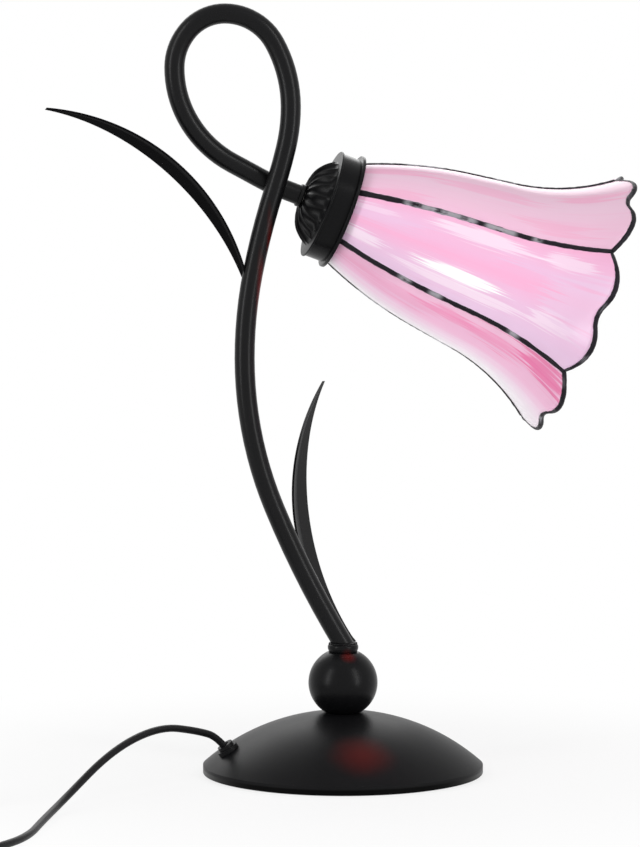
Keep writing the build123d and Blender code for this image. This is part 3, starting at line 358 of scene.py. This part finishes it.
# the cap's profile is an arc from its top edge to the brim
cap_chord = Vector((CAP_RADIUS - CAP_TOP_RADIUS, CAP_DEPTH))
cap_bulge = Vector((cap_chord.y, -cap_chord.x)).normalized() * CAP_BULGE
cap = tube_blank(FLUTES * FLUTE_SIDES, CAP_RINGS)
for vert in cap.verts:
    turn = math.atan2(vert.co.y, vert.co.x)
    share = vert.co.z
    middle = cap_bulge * (4 * share * (1 - share))
    radius = CAP_TOP_RADIUS + cap_chord.x * share + middle.x
    station = CAP_TOP + cap_chord.y * share + middle.y
    flute = (turn * FLUTES / (2 * math.pi)) % 1
    ridge = abs(2 * flute - 1)
    fade = min(1, FLUTE_AT_TOP + radius / CAP_RADIUS) * min(1, (1 - share) / FLUTE_END)
    hollow = (1 - ridge**FLUTE_ROUNDNESS) * FLUTE_DEPTH * fade
    radius -= hollow
    vert.co = (radius * math.cos(turn), radius * math.sin(turn), station + FLUTE_SINK * hollow)
brim_back = CAP_TOP + CAP_DEPTH
brim = bmesh.ops.create_cone(
    cap, cap_ends=True, segments=BRIM_SIDES, radius1=BRIM_RADIUS, radius2=BRIM_RADIUS, depth=BRIM_THICK
)["verts"]
bmesh.ops.translate(cap, verts=brim, vec=(0, 0, brim_back + BRIM_THICK / 2))
rims = [e for v in brim for e in v.link_edges if abs(e.verts[0].co.z - e.verts[1].co.z) < 1e-6]
rims = [e for e in dict.fromkeys(rims) if len(e.link_faces) == 2]
bmesh.ops.bevel(
    cap, geom=rims, offset=BRIM_ROUND, offset_type="OFFSET", segments=3, profile=0.5,
    affect="EDGES", material=-1,
)
bmesh.ops.transform(cap, matrix=head, verts=cap.verts)
cap_coat = lacquer("cap_lacquer", rough=0.32, grain_size=0.0009, grain_depth=0.00006)
make_piece("fluted_cap", cap, cap_coat, ["canopy_cap"], sharp=50)
ring_coat = lacquer("ring_lacquer", rough=0.24, grain_size=0.0014, grain_depth=0.00003)
ring_coat.dress("fitter_ring")

# Lampholder, its contacts and the bulb
# A black moulded lampholder with a brass screw shell takes a small candle bulb of opal glass.
# A threaded ring on the lampholder clamps the shade's tinned neck plate.
THERMOSET_DARK = (0.010, 0.010, 0.010)
THERMOSET_PALE = (0.022, 0.021, 0.021)
moulded = Finish("black_thermoset", Roughness=0.42)
speckle = moulded.coords().grain(scale=900, detail=3)
moulded.set("Base Color", speckle.mix(THERMOSET_DARK, THERMOSET_PALE))
moulded.bump(speckle, distance=0.00006)
moulded.dress("lampholder", "shade_ring")

BRASS_BROWN = (0.62, 0.40, 0.13)
BRASS_YELLOW = (0.78, 0.58, 0.26)
brass = Finish("contact_brass", Metallic=1.0)
tarnish = brass.coords().grain(scale=240, detail=3)
brass.set("Base Color", tarnish.mix(BRASS_BROWN, BRASS_YELLOW))
brass.set("Roughness", 0.22 + 0.2 * tarnish)
brass.dress("screw_shell", "centre_contact")

ALUMINIUM_DULL = (0.62, 0.61, 0.58)
ALUMINIUM_BRIGHT = (0.78, 0.77, 0.75)
cap_metal = Finish("bulb_cap_aluminium", Metallic=1.0)
rolled = cap_metal.coords().grain(scale=300, detail=2)
cap_metal.set("Base Color", rolled.mix(ALUMINIUM_DULL, ALUMINIUM_BRIGHT))
cap_metal.set("Roughness", 0.28 + 0.12 * rolled)
cap_metal.dress("bulb_cap")

OPAL_WARM = (0.84, 0.82, 0.77)
OPAL_WHITE = (0.90, 0.88, 0.84)
opal = Finish("opal_bulb_glass", Roughness=0.16)
milk = opal.coords().grain(scale=60, detail=2)
opal.set("Base Color", milk.mix(OPAL_WARM, OPAL_WHITE))
opal.dress("bulb_glass")

TIN_GREY = (0.30, 0.30, 0.30)
TIN_BRIGHT = (0.52, 0.51, 0.50)
tinned = Finish("tinned_plate", Metallic=1.0)
wipe = tinned.coords().grain(scale=120, detail=4)
tinned.set("Base Color", wipe.mix(TIN_GREY, TIN_BRIGHT))
tinned.set("Roughness", 0.35 + 0.2 * wipe)
tinned.bump(wipe, distance=0.0002)
tinned.dress("neck_plate")

# Glass petals
# Six pieces of streaky opalescent glass, slumped over a mould so that they bell out from the
# neck, run straight at the waist and flare at a lip of two lobes. The streaks run lengthwise.
PETALS = 6
PETAL_CLOCK = math.radians(94.3)
PETAL_TURN = 2 * math.pi / PETALS
SHADE_START = 0.0225
NECK_END_RADIUS = 0.0263
NECK_ANGLE = math.radians(23.3)
BELL_RADIUS = 0.270
WAIST_ANGLE = math.radians(8.5)
FLARE_DEPTH = 0.0589
FLARE_RADIUS = 0.115
GLASS_THICK = 0.0026
SEAM_GAP = 0.0008
NOTCH_LENGTH = 0.1514
NOTCH_RADIUS = 0.020
NOTCH_ANGLE = math.radians(22)
LOBE_RADIUS = 0.028
FOIL_EDGE = 0.0008
PETAL_CROWN = 0.0014
CROWN_AT_NECK = 0.12
CROWN_GROWTH = 0.8
PETAL_SWELL = 0.0012
PETAL_COLUMNS = 44
PETAL_ROWS = 64
RIPPLE_DEPTH = 0.0003
RIPPLE_SCALE = 45
LIP_ROUNDS = 12
SLOPE_STEP = 0.0005
# the wall's profile: x is the radius, y the station along the head axis
neck_way = Vector((math.cos(NECK_ANGLE), -math.sin(NECK_ANGLE)))
waist_way = Vector((math.cos(WAIST_ANGLE), -math.sin(WAIST_ANGLE)))
bell_middle = Vector((NECK_END_RADIUS, SHADE_START)) - BELL_RADIUS * neck_way
waist_start = bell_middle + BELL_RADIUS * waist_way
waist_run = SHADE_START + NOTCH_LENGTH - FLARE_DEPTH - waist_start.y
flare_start = waist_start + waist_run * Vector((math.tan(WAIST_ANGLE), 1))
flare_middle = flare_start + FLARE_RADIUS * waist_way


def wall_radius(station):
    """Radius of the shade's outer face at a station on the head axis."""
    grown = min(max((station - SHADE_START) / NOTCH_LENGTH, 0), 1)
    swell = PETAL_SWELL * math.sqrt(math.sin(math.pi * grown))
    if station < waist_start.y:
        return swell + bell_middle.x + math.sqrt(BELL_RADIUS**2 - (station - bell_middle.y) ** 2)
    if station < flare_start.y:
        return swell + waist_start.x + (station - waist_start.y) * math.tan(WAIST_ANGLE)
    return swell + flare_middle.x - math.sqrt(FLARE_RADIUS**2 - (station - flare_middle.y) ** 2)


def lip_station(sideways):
    """Where a petal's lip ends, by the distance from its middle line: a notch between two lobes."""
    sideways = abs(sideways)
    notch = SHADE_START + NOTCH_LENGTH
    dip_end = NOTCH_RADIUS * math.sin(NOTCH_ANGLE)
    if sideways < dip_end:
        return notch + NOTCH_RADIUS - math.sqrt(NOTCH_RADIUS**2 - sideways**2)
    lobe_middle = (NOTCH_RADIUS + LOBE_RADIUS) * math.sin(NOTCH_ANGLE)
    lobe_base = notch + NOTCH_RADIUS - (NOTCH_RADIUS + LOBE_RADIUS) * math.cos(NOTCH_ANGLE)
    return lobe_base + math.sqrt(max(LOBE_RADIUS**2 - (sideways - lobe_middle) ** 2, 0))


def petal_end(across, gap):
    """The lip's station along one lengthwise line of a petal, from -1 to 1 across it.

    The lip depends on the radius there and the radius on the lip, so it is found in rounds.
    """
    station = SHADE_START + NOTCH_LENGTH
    for _ in range(LIP_ROUNDS):
        radius = wall_radius(station)
        sway = across * (PETAL_TURN / 2 - math.asin(gap / 2 / radius))
        station = lip_station(radius * math.sin(sway))
    return station


def wall_point(angle, across, station, depth=0.0, gap=SEAM_GAP, crown=PETAL_CROWN):
    """A point of a petal, in the head's axes, at a depth below its outer face."""
    radius = wall_radius(station)
    sway = across * (PETAL_TURN / 2 - math.asin(gap / 2 / radius))
    rise = wall_radius(station + SLOPE_STEP) - wall_radius(station - SLOPE_STEP)
    slope = math.atan(rise / (2 * SLOPE_STEP))
    grown = (station - SHADE_START) / NOTCH_LENGTH
    belly = math.sin(math.pi * min(1, CROWN_AT_NECK + CROWN_GROWTH * grown))
    lift = crown * (1 - across**2) * belly - depth
    radius += lift * math.cos(slope)
    turn = angle + sway
    return Vector((radius * math.cos(turn), radius * math.sin(turn), station - lift * math.sin(slope)))


# how the streaks spread: repeats across and along a petal, and how far they push its colours
WIDE_STREAKS = (5, 1.1, 1)
FINE_STREAKS = (34, 2.4, 1)
STREAK_SHIFT = 3.7
WIDE_WANDER = 0.22
FINE_WANDER = 0.12
ROSE_THREADS = 0.22
WIDE_FRAY = 0.8
FINE_FRAY = 2.6
WISP_EDGE = (0.62, 1.0)


def petal_glass(number, bands, wisps):
    """Streaky glass: colour bands across a petal, and lengthwise wisps of another colour or of painted
    highlight.

    A wisp has its place across and along the petal, its half width and half length, all as
    shares of the petal, its strength and its colour.
    """
    glass = Finish(f"petal_glass_{number}", Roughness=0.19, IOR=1.5, Specular_IOR_Level=0.24)
    place = glass.coords("UV")
    shift = STREAK_SHIFT * number
    wide_place, fine_place = [
        glass.start.node("Mapping", {"Vector": place, "Scale": streaks, "Location": offset})
        for streaks, offset in ((WIDE_STREAKS, (shift, shift, 0)), (FINE_STREAKS, (shift, 2 * shift, 0)))
    ]
    wide = wide_place.grain(scale=1.0, detail=2, distortion=0.6)
    fine = fine_place.grain(scale=1.0, detail=3, distortion=0.5)
    across = glass.start.node("SeparateXYZ", {0: place}, out="X")
    wander = across + WIDE_WANDER * (wide - 0.5) + FINE_WANDER * (fine - 0.5)
    colour = glass.start.node("ValToRGB", {"Fac": wander}, stops=bands)
    colour = (ROSE_THREADS * fine.between(0.56, 0.70)).mix(colour, ROSE)
    for wisp_across, wisp_along, half_width, half_length, strength, tone in wisps:
        away = place.away_from((wisp_across, wisp_along, 0), (half_width, half_length, 1))
        brushed = away + FINE_FRAY * (fine - 0.5) + WIDE_FRAY * (wide - 0.5)
        colour = ((1 - brushed.between(*WISP_EDGE)) * strength).mix(colour, tone)
    glass.set("Base Color", colour)
    glass.bump(wide * 0.6 + fine * 0.4, distance=0.0004, strength=0.3)
    return glass


BLUSH = (0.92, 0.45, 0.67)
ROSE = (0.85, 0.43, 0.62)
PETAL_PINK = (0.84, 0.53, 0.68)
LAVENDER = (0.86, 0.62, 0.83)
LILAC = (0.86, 0.55, 0.76)
MILK = (0.89, 0.77, 0.87)
# white for a painted highlight; the cream below is partly opal streak and partly painted highlight
PAINTED_HIGHLIGHT_WHITE = (0.98, 0.97, 0.98)
FROST = (0.96, 0.89, 0.95)
CREAM_STREAK_AND_HIGHLIGHT = (0.95, 0.76, 0.89)
STREAK_ROSE = (0.86, 0.38, 0.57)
HOT_PINK = (0.90, 0.30, 0.52)
RASPBERRY = (0.90, 0.38, 0.59)
DEEP = (0.87, 0.19, 0.41)
HAZE = (0.85, 0.60, 0.79)
SHELL = (0.95, 0.73, 0.87)
WARM_PINK = (0.93, 0.55, 0.73)
SOFT_PINK = (0.93, 0.53, 0.72)
CLEAR_PINK = (0.94, 0.55, 0.75)
DUSK_MAUVE = (0.78, 0.55, 0.67)
DUSK_ROSE = (0.80, 0.51, 0.65)
DUSK_PINK = (0.83, 0.56, 0.70)
DUSK_BLUSH = (0.86, 0.52, 0.69)
front_bands = [(0.0, BLUSH), (0.30, LILAC), (0.46, BLUSH), (0.70, LILAC), (1.0, LAVENDER)]
# On the front petal the cream wisps are partly opal streaks and partly painted highlights, and the white
# wisp is a painted highlight: reflections of the lights put into the colour.
front_wisps_and_highlights = [
    (0.36, 0.46, 0.16, 0.22, 0.5, BLUSH),
    (0.44, 0.70, 0.13, 0.12, 0.5, BLUSH),
    (0.70, 0.09, 0.11, 0.11, 0.95, CREAM_STREAK_AND_HIGHLIGHT),
    (0.20, 0.10, 0.09, 0.11, 0.5, CREAM_STREAK_AND_HIGHLIGHT),
    (0.15, 0.50, 0.10, 0.24, 0.85, CREAM_STREAK_AND_HIGHLIGHT),
    (0.14, 0.84, 0.09, 0.10, 0.7, CREAM_STREAK_AND_HIGHLIGHT),
    (0.79, 0.48, 0.11, 0.26, 0.9, CREAM_STREAK_AND_HIGHLIGHT),
    (0.64, 0.49, 0.095, 0.20, 1.0, PAINTED_HIGHLIGHT_WHITE),
    (0.70, 0.84, 0.10, 0.09, 0.8, CREAM_STREAK_AND_HIGHLIGHT),
    (0.50, 0.95, 0.26, 0.17, 0.65, HAZE),
]
low_bands = [
    (0.0, WARM_PINK), (0.20, SOFT_PINK), (0.40, CLEAR_PINK),
    (0.52, SHELL), (0.74, FROST), (1.0, FROST),
]
low_wisps = [
    (0.12, 0.14, 0.16, 0.16, 0.5, ROSE),
    (0.22, 0.32, 0.12, 0.26, 0.5, RASPBERRY),
    (0.16, 0.52, 0.10, 0.16, 0.7, HOT_PINK),
    (0.18, 0.72, 0.12, 0.22, 0.7, HOT_PINK),
    (0.14, 0.91, 0.14, 0.13, 0.8, DEEP),
]
top_bands = [
    (0.0, DUSK_MAUVE), (0.30, DUSK_ROSE), (0.55, DUSK_PINK), (0.80, PETAL_PINK), (1.0, DUSK_BLUSH),
]
top_wisps = [
    (0.42, 0.14, 0.09, 0.22, 0.7, STREAK_ROSE),
    (0.90, 0.18, 0.10, 0.14, 0.5, STREAK_ROSE),
    (0.52, 0.50, 0.08, 0.24, 0.5, STREAK_ROSE),
    (0.40, 0.88, 0.09, 0.14, 0.7, STREAK_ROSE),
    (0.82, 0.78, 0.09, 0.16, 0.5, STREAK_ROSE),
]
far_bands = [(0.0, MILK), (0.30, PETAL_PINK), (0.55, BLUSH), (0.80, LILAC), (1.0, PETAL_PINK)]
far_wisps = [
    (0.30, 0.40, 0.09, 0.24, 0.7, CREAM_STREAK_AND_HIGHLIGHT),
    (0.62, 0.62, 0.10, 0.20, 0.5, DEEP),
    (0.80, 0.30, 0.08, 0.16, 0.6, CREAM_STREAK_AND_HIGHLIGHT),
]
petal_looks = [
    (front_bands, front_wisps_and_highlights),
    (low_bands, low_wisps),
    (far_bands, far_wisps),
    (top_bands, far_wisps),
    (far_bands, top_wisps),
    (top_bands, top_wisps),
]
for number, (bands, wisps) in enumerate(petal_looks, 1):
    angle = PETAL_CLOCK + PETAL_TURN * (number - 1)
    sheet = bmesh.new()
    sheet.loops.layers.uv.new("petal")
    bmesh.ops.create_grid(sheet, x_segments=PETAL_COLUMNS, y_segments=PETAL_ROWS, size=1, calc_uvs=True)
    for vert in sheet.verts:
        across = vert.co.x
        grown = (vert.co.y + 1) / 2
        end = petal_end(across, SEAM_GAP) - FOIL_EDGE
        vert.co = wall_point(angle, across, SHADE_START + grown * (end - SHADE_START))
        ripple = noise.noise(vert.co * RIPPLE_SCALE + Vector((number, 0, 0)))
        vert.co += vert.co.normalized() * RIPPLE_DEPTH * ripple
    bmesh.ops.transform(sheet, matrix=head, verts=sheet.verts)
    glass = petal_glass(number, bands, wisps)
    stands_for = [f"glass_petal_{number}"]
    petal = make_piece(f"petal_{number}", sheet, glass, stands_for, sharp=180)
    wall = petal.modifiers.new("wall", "SOLIDIFY")
    wall.thickness = GLASS_THICK
    wall.offset = -1

# Solder seams and foiled lips
# Copper foil is folded over the edges of the glass and run with tin solder, which stands up as a
# hand-laid bead. A black patina is wiped over it, and the high spots are rubbed bright.
SEAM_WIDTH = 0.0023
SEAM_TAPER = 0.2
SEAM_HEIGHT = 0.0022
SEAM_START = 0.0012
SEAM_DROP = 0.0044
SEAM_SIDES = 14
SEAM_RINGS = 150
SEAM_WOBBLE = 0.16
WOBBLES = 140
LUMP_HEIGHT = 0.00022
LUMPS = 420
LIP_WIDTH = 0.0011
LIP_FOLD = 0.0003
LIP_SIDES = 16
LIP_RINGS = 120
LIP_UNEVEN = 0.10
LIP_LUMPS = 22
LIP_RUB = 1.2
LIP_RUBS = 4
PATINA = (0.014, 0.012, 0.016)
RUBBED_TIN = (0.36, 0.35, 0.38)
STROKES = 160
# where each seam is rubbed bright, as shares of its length from the neck
RUBS = {
    1: [(0.29, 0.34), (0.42, 0.47), (0.76, 0.80)],
    6: [(0.21, 0.49), (0.53, 0.65), (0.72, 0.75)],
}
OTHER_RUBS = [(0.20, 0.34), (0.55, 0.63)]
RUB_FADE = 0.03
solder = Finish("patina_solder", Metallic=0.6, Specular_IOR_Level=0.2)
crest = solder.start.node("Attribute", out="Fac", attribute_name="crest")
run = solder.start.node("Attribute", out="Fac", attribute_name="run")
strokes = solder.start.node("CombineXYZ", {0: run * STROKES, 1: crest * 2.5, 2: run * 20})
beads = solder.coords().grain(scale=420, detail=3)
rub = solder.start.node("Attribute", out="Fac", attribute_name="rub")
stroke = strokes.grain(scale=1.0, detail=3).between(0.30, 0.56)
bright = stroke * rub.between(0.0, 1.0) * crest.between(0.2, 0.8)
solder.set("Base Color", (bright * 0.9).mix(PATINA, RUBBED_TIN))
solder.set("Roughness", 0.44 - 0.14 * bright)
solder.bump(beads, distance=0.0005)
for number in range(1, PETALS + 1):
    angle = PETAL_CLOCK + PETAL_TURN * (number - 0.5)
    reach = SHADE_START + NOTCH_LENGTH - SEAM_DROP
    start = SHADE_START + SEAM_START
    seam = tube_blank(SEAM_SIDES, SEAM_RINGS)
    crests = seam.verts.layers.float.new("crest")
    runs = seam.verts.layers.float.new("run")
    rubs = seam.verts.layers.float.new("rub")
    for vert in seam.verts:
        station = start + vert.co.z * (reach - start)
        insides = [min(vert.co.z - low, high - vert.co.z) for low, high in RUBS.get(number, OTHER_RUBS)]
        vert[rubs] = min(max(max(insides) / RUB_FADE + 0.5, 0), 1)
        vert[crests] = vert.co.y
        vert[runs] = station + number
        wander = noise.noise(Vector((number * 9, station * WOBBLES, 0)))
        wobble = 1 - SEAM_TAPER * vert.co.z + SEAM_WOBBLE * wander
        spot = Vector((vert.co.x * 2 + number * 5, vert.co.y * 2, station * LUMPS))
        lumps = LUMP_HEIGHT * noise.noise(spot)
        depth = GLASS_THICK / 2 - vert.co.y * (SEAM_HEIGHT + lumps)
        centre = wall_point(angle, 0, station, depth, crown=0)
        sideways = Vector((-math.sin(angle), math.cos(angle), 0))
        vert.co = centre + sideways * vert.co.x * (SEAM_WIDTH * wobble + lumps)
    bmesh.ops.transform(seam, matrix=head, verts=seam.verts)
    stands_for = [f"solder_seam_{number}"]
    make_piece(f"seam_{number}", seam, solder, stands_for, sharp=60)
for number in range(1, PETALS + 1):
    angle = PETAL_CLOCK + PETAL_TURN * (number - 1)
    foil = tube_blank(LIP_SIDES, LIP_RINGS)
    crests = foil.verts.layers.float.new("crest")
    runs = foil.verts.layers.float.new("run")
    rubs = foil.verts.layers.float.new("rub")
    for vert in foil.verts:
        across = 2 * vert.co.z - 1
        vert[crests] = vert.co.y
        vert[runs] = across * LOBE_RADIUS + number
        rubbed = LIP_RUB * noise.noise(Vector((number * 3, across * LIP_RUBS, 0)))
        vert[rubs] = min(max(rubbed, 0), 1)
        lumps = 1 + LIP_UNEVEN * noise.noise(Vector((number * 7, across * LIP_LUMPS, vert.co.x)))
        end = petal_end(across, 0) - LIP_WIDTH
        station = end + vert.co.x * LIP_WIDTH * lumps
        depth = GLASS_THICK / 2 - vert.co.y * (GLASS_THICK / 2 + LIP_FOLD) * lumps
        vert.co = wall_point(angle, across, station, depth, gap=0)
    bmesh.ops.transform(foil, matrix=head, verts=foil.verts)
    stands_for = [f"lip_foil_{number}"]
    make_piece(f"lip_{number}", foil, solder, stands_for, sharp=70)

# Bushing and lead
# A black snap bushing stands square on the dome. The round two-core lead rises out of it, falls
# to the table and runs out to the switch; the spare length is coiled and tied beside it.
SHEATH_BLACK = (0.006, 0.006, 0.0065)
SHEATH_WORN = (0.011, 0.011, 0.012)
sheath = Finish("lead_sheath", Roughness=0.42, Specular_IOR_Level=0.12)
pores = sheath.coords().grain(scale=1500, detail=2)
sheath.set("Base Color", pores.mix(SHEATH_BLACK, SHEATH_WORN))
sheath.bump(pores, distance=0.00003)
sheath.dress("cord_bushing")
LEAD_RADIUS = 0.0021


def lay_lead(name, route, stands_for):
    """A lead along one smooth spline, with the route's points as its control points."""
    line = bpy.data.curves.new(name, "CURVE")
    line.dimensions = "3D"
    line.bevel_depth = LEAD_RADIUS
    line.bevel_resolution = 5
    line.resolution_u = 8
    line.use_fill_caps = True
    spline = line.splines.new("NURBS")
    spline.points.add(len(route) - 1)
    for point, place in zip(spline.points, route):
        point.co = (*place, 1)
    spline.order_u = 3
    spline.use_endpoint_u = True
    line.materials.append(sheath.material)
    lead = bpy.data.objects.new(name, line)
    bpy.context.scene.collection.objects.link(lead)
    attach(lead, "lamp")
    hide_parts(*stands_for)
    return lead


table_run = [
    (-0.06267, -0.00659, 0.00846),
    (-0.07254, -0.00763, 0.02348),
    (-0.0868, -0.0160, 0.0291),
    (-0.1101, -0.0330, 0.0347),
    (-0.1397, -0.0620, 0.0265),
    (-0.1705, -0.0980, 0.0045),
    (-0.1845, -0.1430, 0.0024),
    (-0.1960, -0.1900, 0.0022),
    (-0.2160, -0.2190, 0.0022),
    (-0.2334, -0.2318, 0.0023),
    (-0.2493, -0.2332, 0.0030),
    (-0.2636, -0.2259, 0.0050),
    (-0.2721, -0.2123, 0.0075),
    (-0.2721, -0.1973, 0.0075),
]
table_lead = lay_lead("lead_to_switch", table_run, ["cord_run_1"])

COIL_MIDDLE = Vector((-0.2445, -0.0760, 0.0033))
COIL_PITCH = 0.00525
COIL_INNER = 0.0204
COIL_LAYERS = [1.75, 1.5, 1.5, 1.75]
STEPS_IN_TURN = 16
# a spline cuts inside its points, so the points stand outside the turns by that much
coil_spread = 1 / math.cos(math.pi / STEPS_IN_TURN)
moves = []
for layer, turns in enumerate(COIL_LAYERS):
    inward = -1 if layer % 2 == 0 else 1
    moves += [(inward * COIL_PITCH / STEPS_IN_TURN, 0)] * round(turns * STEPS_IN_TURN)
    if layer + 1 < len(COIL_LAYERS):
        moves += [(0, COIL_PITCH / (STEPS_IN_TURN // 2))] * (STEPS_IN_TURN // 2)
coil_radius = COIL_INNER + COIL_PITCH * COIL_LAYERS[0]
coil_side = COIL_MIDDLE.x - coil_radius
coil_height = 0.0
coil_run = []
for step, (outward, upward) in enumerate(moves):
    coil_radius += outward
    coil_height += upward
    turn = math.pi - (step + 1) * 2 * math.pi / STEPS_IN_TURN
    way = Vector((math.cos(turn), math.sin(turn), 0))
    coil_run.append(COIL_MIDDLE + way * coil_radius * coil_spread + Vector((0, 0, coil_height)))
store_run = [
    (-0.2721, -0.1273, 0.0075),
    (-0.2721, -0.1133, 0.0075),
    (coil_side, -0.0922, COIL_MIDDLE.z),
    (coil_side, -0.0802, COIL_MIDDLE.z),
    *coil_run[:-1],
    (coil_side, -0.0718, COIL_MIDDLE.z + coil_height),
    (coil_side, -0.0558, COIL_MIDDLE.z + coil_height),
    (coil_side, -0.0290, 0.00685),
    (coil_side, -0.0130, 0.00685),
]
store_lead = lay_lead("lead_to_plug", store_run, ["cord_run_2", "cord_coil", "cord_run_3"])

# Switch, tie and plug on the lead
# The switch is a two-part moulding with a rocker, closed from below by two screws. A flat tie
# holds the coil, and the plug is moulded onto the lead's end, with two nickel-plated pins.
MOULDING_BLACK = (0.009, 0.009, 0.0095)
MOULDING_WORN = (0.016, 0.016, 0.017)
switch_black = Finish("switch_moulding", Roughness=0.38, Specular_IOR_Level=0.2)
spark = switch_black.coords().grain(scale=1100, detail=3)
switch_black.set("Base Color", spark.mix(MOULDING_BLACK, MOULDING_WORN))
switch_black.bump(spark, distance=0.00008)
switch_black.dress("switch_base", "switch_cover", "switch_rocker", "plug_body", "cord_tie")
NICKEL_GREY = (0.66, 0.64, 0.60)
NICKEL_BRIGHT = (0.78, 0.76, 0.71)
nickel = Finish("nickel_plate", Metallic=1.0)
haze = nickel.coords().grain(scale=260, detail=2)
nickel.set("Base Color", haze.mix(NICKEL_GREY, NICKEL_BRIGHT))
nickel.set("Roughness", 0.16 + 0.12 * haze)
nickel.dress("plug_pin_1", "plug_pin_2")

# Floor, light and camera
# A white table that fades into a white room, which reflections show too. A strip softbox stands
# in front on each side, with one light above and one behind. A low card lifts the shade's
# underside, and neither it nor the light above is mirrored in the lamp.
FLOOR_RADIUS = 6.0
SHADOW_SHARE = 0.20
SHADOW_REACH = (0.10, 0.36)
disc = bmesh.new()
bmesh.ops.create_circle(disc, cap_ends=True, segments=96, radius=FLOOR_RADIUS)
floor_mesh = bpy.data.meshes.new("floor")
disc.to_mesh(floor_mesh)
disc.free()
floor = bpy.data.objects.new("floor", floor_mesh)
bpy.context.scene.collection.objects.link(floor)
paper = Finish("white_table", Base_Color=(0.93, 0.93, 0.93), Roughness=0.8)
floor_mesh.materials.append(paper.material)
camera_ray, glossy_ray, through_ray = [
    paper.start.node("LightPath", out=f"Is {ray} Ray") for ray in ("Camera", "Glossy", "Transmission")
]
seen = camera_ray + glossy_ray + through_ray
spread = paper.start.node("VectorMath", {0: paper.coords()}, out="Value", operation="LENGTH")
whiteness = seen * (1 - SHADOW_SHARE + SHADOW_SHARE * spread.between(*SHADOW_REACH))
white = paper.start.node("Emission", {"Color": (1, 1, 1), "Strength": 1.0})
table = Shade(paper.start.tree, paper.shader.outputs[0])
surface = paper.start.node("MixShader", {0: whiteness, 1: table, 2: white})
paper.start.tree.links.new(surface.socket, paper.start.tree.nodes["Material Output"].inputs["Surface"])

world = bpy.data.worlds.new("studio")
bpy.context.scene.world = world
world.use_nodes = True
room = Shade(world.node_tree)
camera_ray, glossy_ray, through_ray = [
    room.node("LightPath", out=f"Is {ray} Ray") for ray in ("Camera", "Glossy", "Transmission")
]
FILL_LEVEL = 0.16
strength = FILL_LEVEL + (1 - FILL_LEVEL) * (camera_ray + glossy_ray + through_ray)
background = world.node_tree.nodes["Background"]
background.inputs["Color"].default_value = (1, 1, 1, 1)
world.node_tree.links.new(strength.socket, background.inputs["Strength"])


def softbox(name, place, aim, size, power):
    lamp = bpy.data.lights.new(name, "AREA")
    lamp.shape = "RECTANGLE"
    lamp.size, lamp.size_y = size
    lamp.energy = power
    box = bpy.data.objects.new(name, lamp)
    bpy.context.scene.collection.objects.link(box)
    box.location = place
    box.visible_camera = False
    box.rotation_euler = (Vector(aim) - Vector(place)).to_track_quat("-Z", "Y").to_euler()
    return box


STRIP_MIDDLE = 0.88
STRIP_SIZE = (0.27, 1.7)
STRIP_POWER = 13.2
strip_places = {"left_softbox": (-1.41, -0.75, STRIP_MIDDLE), "right_softbox": (1.05, -1.20, STRIP_MIDDLE)}
for name, place in strip_places.items():
    softbox(name, place, aim=(0, 0, STRIP_MIDDLE), size=STRIP_SIZE, power=STRIP_POWER)
top_light = softbox("top_softbox", (0.15, -0.75, 1.6), aim=(0, 0, 0.2), size=(0.9, 0.9), power=7.5)
softbox("back_softbox", (-0.1, 1.5, 1.05), aim=(0, 0, 0.2), size=(1.5, 0.9), power=7.5)
low_card = softbox("low_card", (0.16, -0.06, 0.004), aim=(0.16, -0.06, 0.3), size=(0.45, 0.45), power=0.6)
for hidden in (top_light, low_card):
    hidden.visible_glossy = False

CAMERA_PLACE = (-0.340, -2.275, 0.389)
CAMERA_AIM = Vector((-0.01315, 0.00197, 0.2029))
LENS_LENGTH = 170.6
SENSOR_WIDTH = 36
lens = bpy.data.cameras.new("camera")
lens.lens = LENS_LENGTH
lens.sensor_width = SENSOR_WIDTH
camera = bpy.data.objects.new("camera", lens)
camera.location = CAMERA_PLACE
camera.rotation_euler = (CAMERA_AIM - Vector(CAMERA_PLACE)).to_track_quat("-Z", "Y").to_euler()
bpy.context.scene.collection.objects.link(camera)
bpy.context.scene.camera = camera
bpy.context.scene.view_settings.view_transform = "Standard"
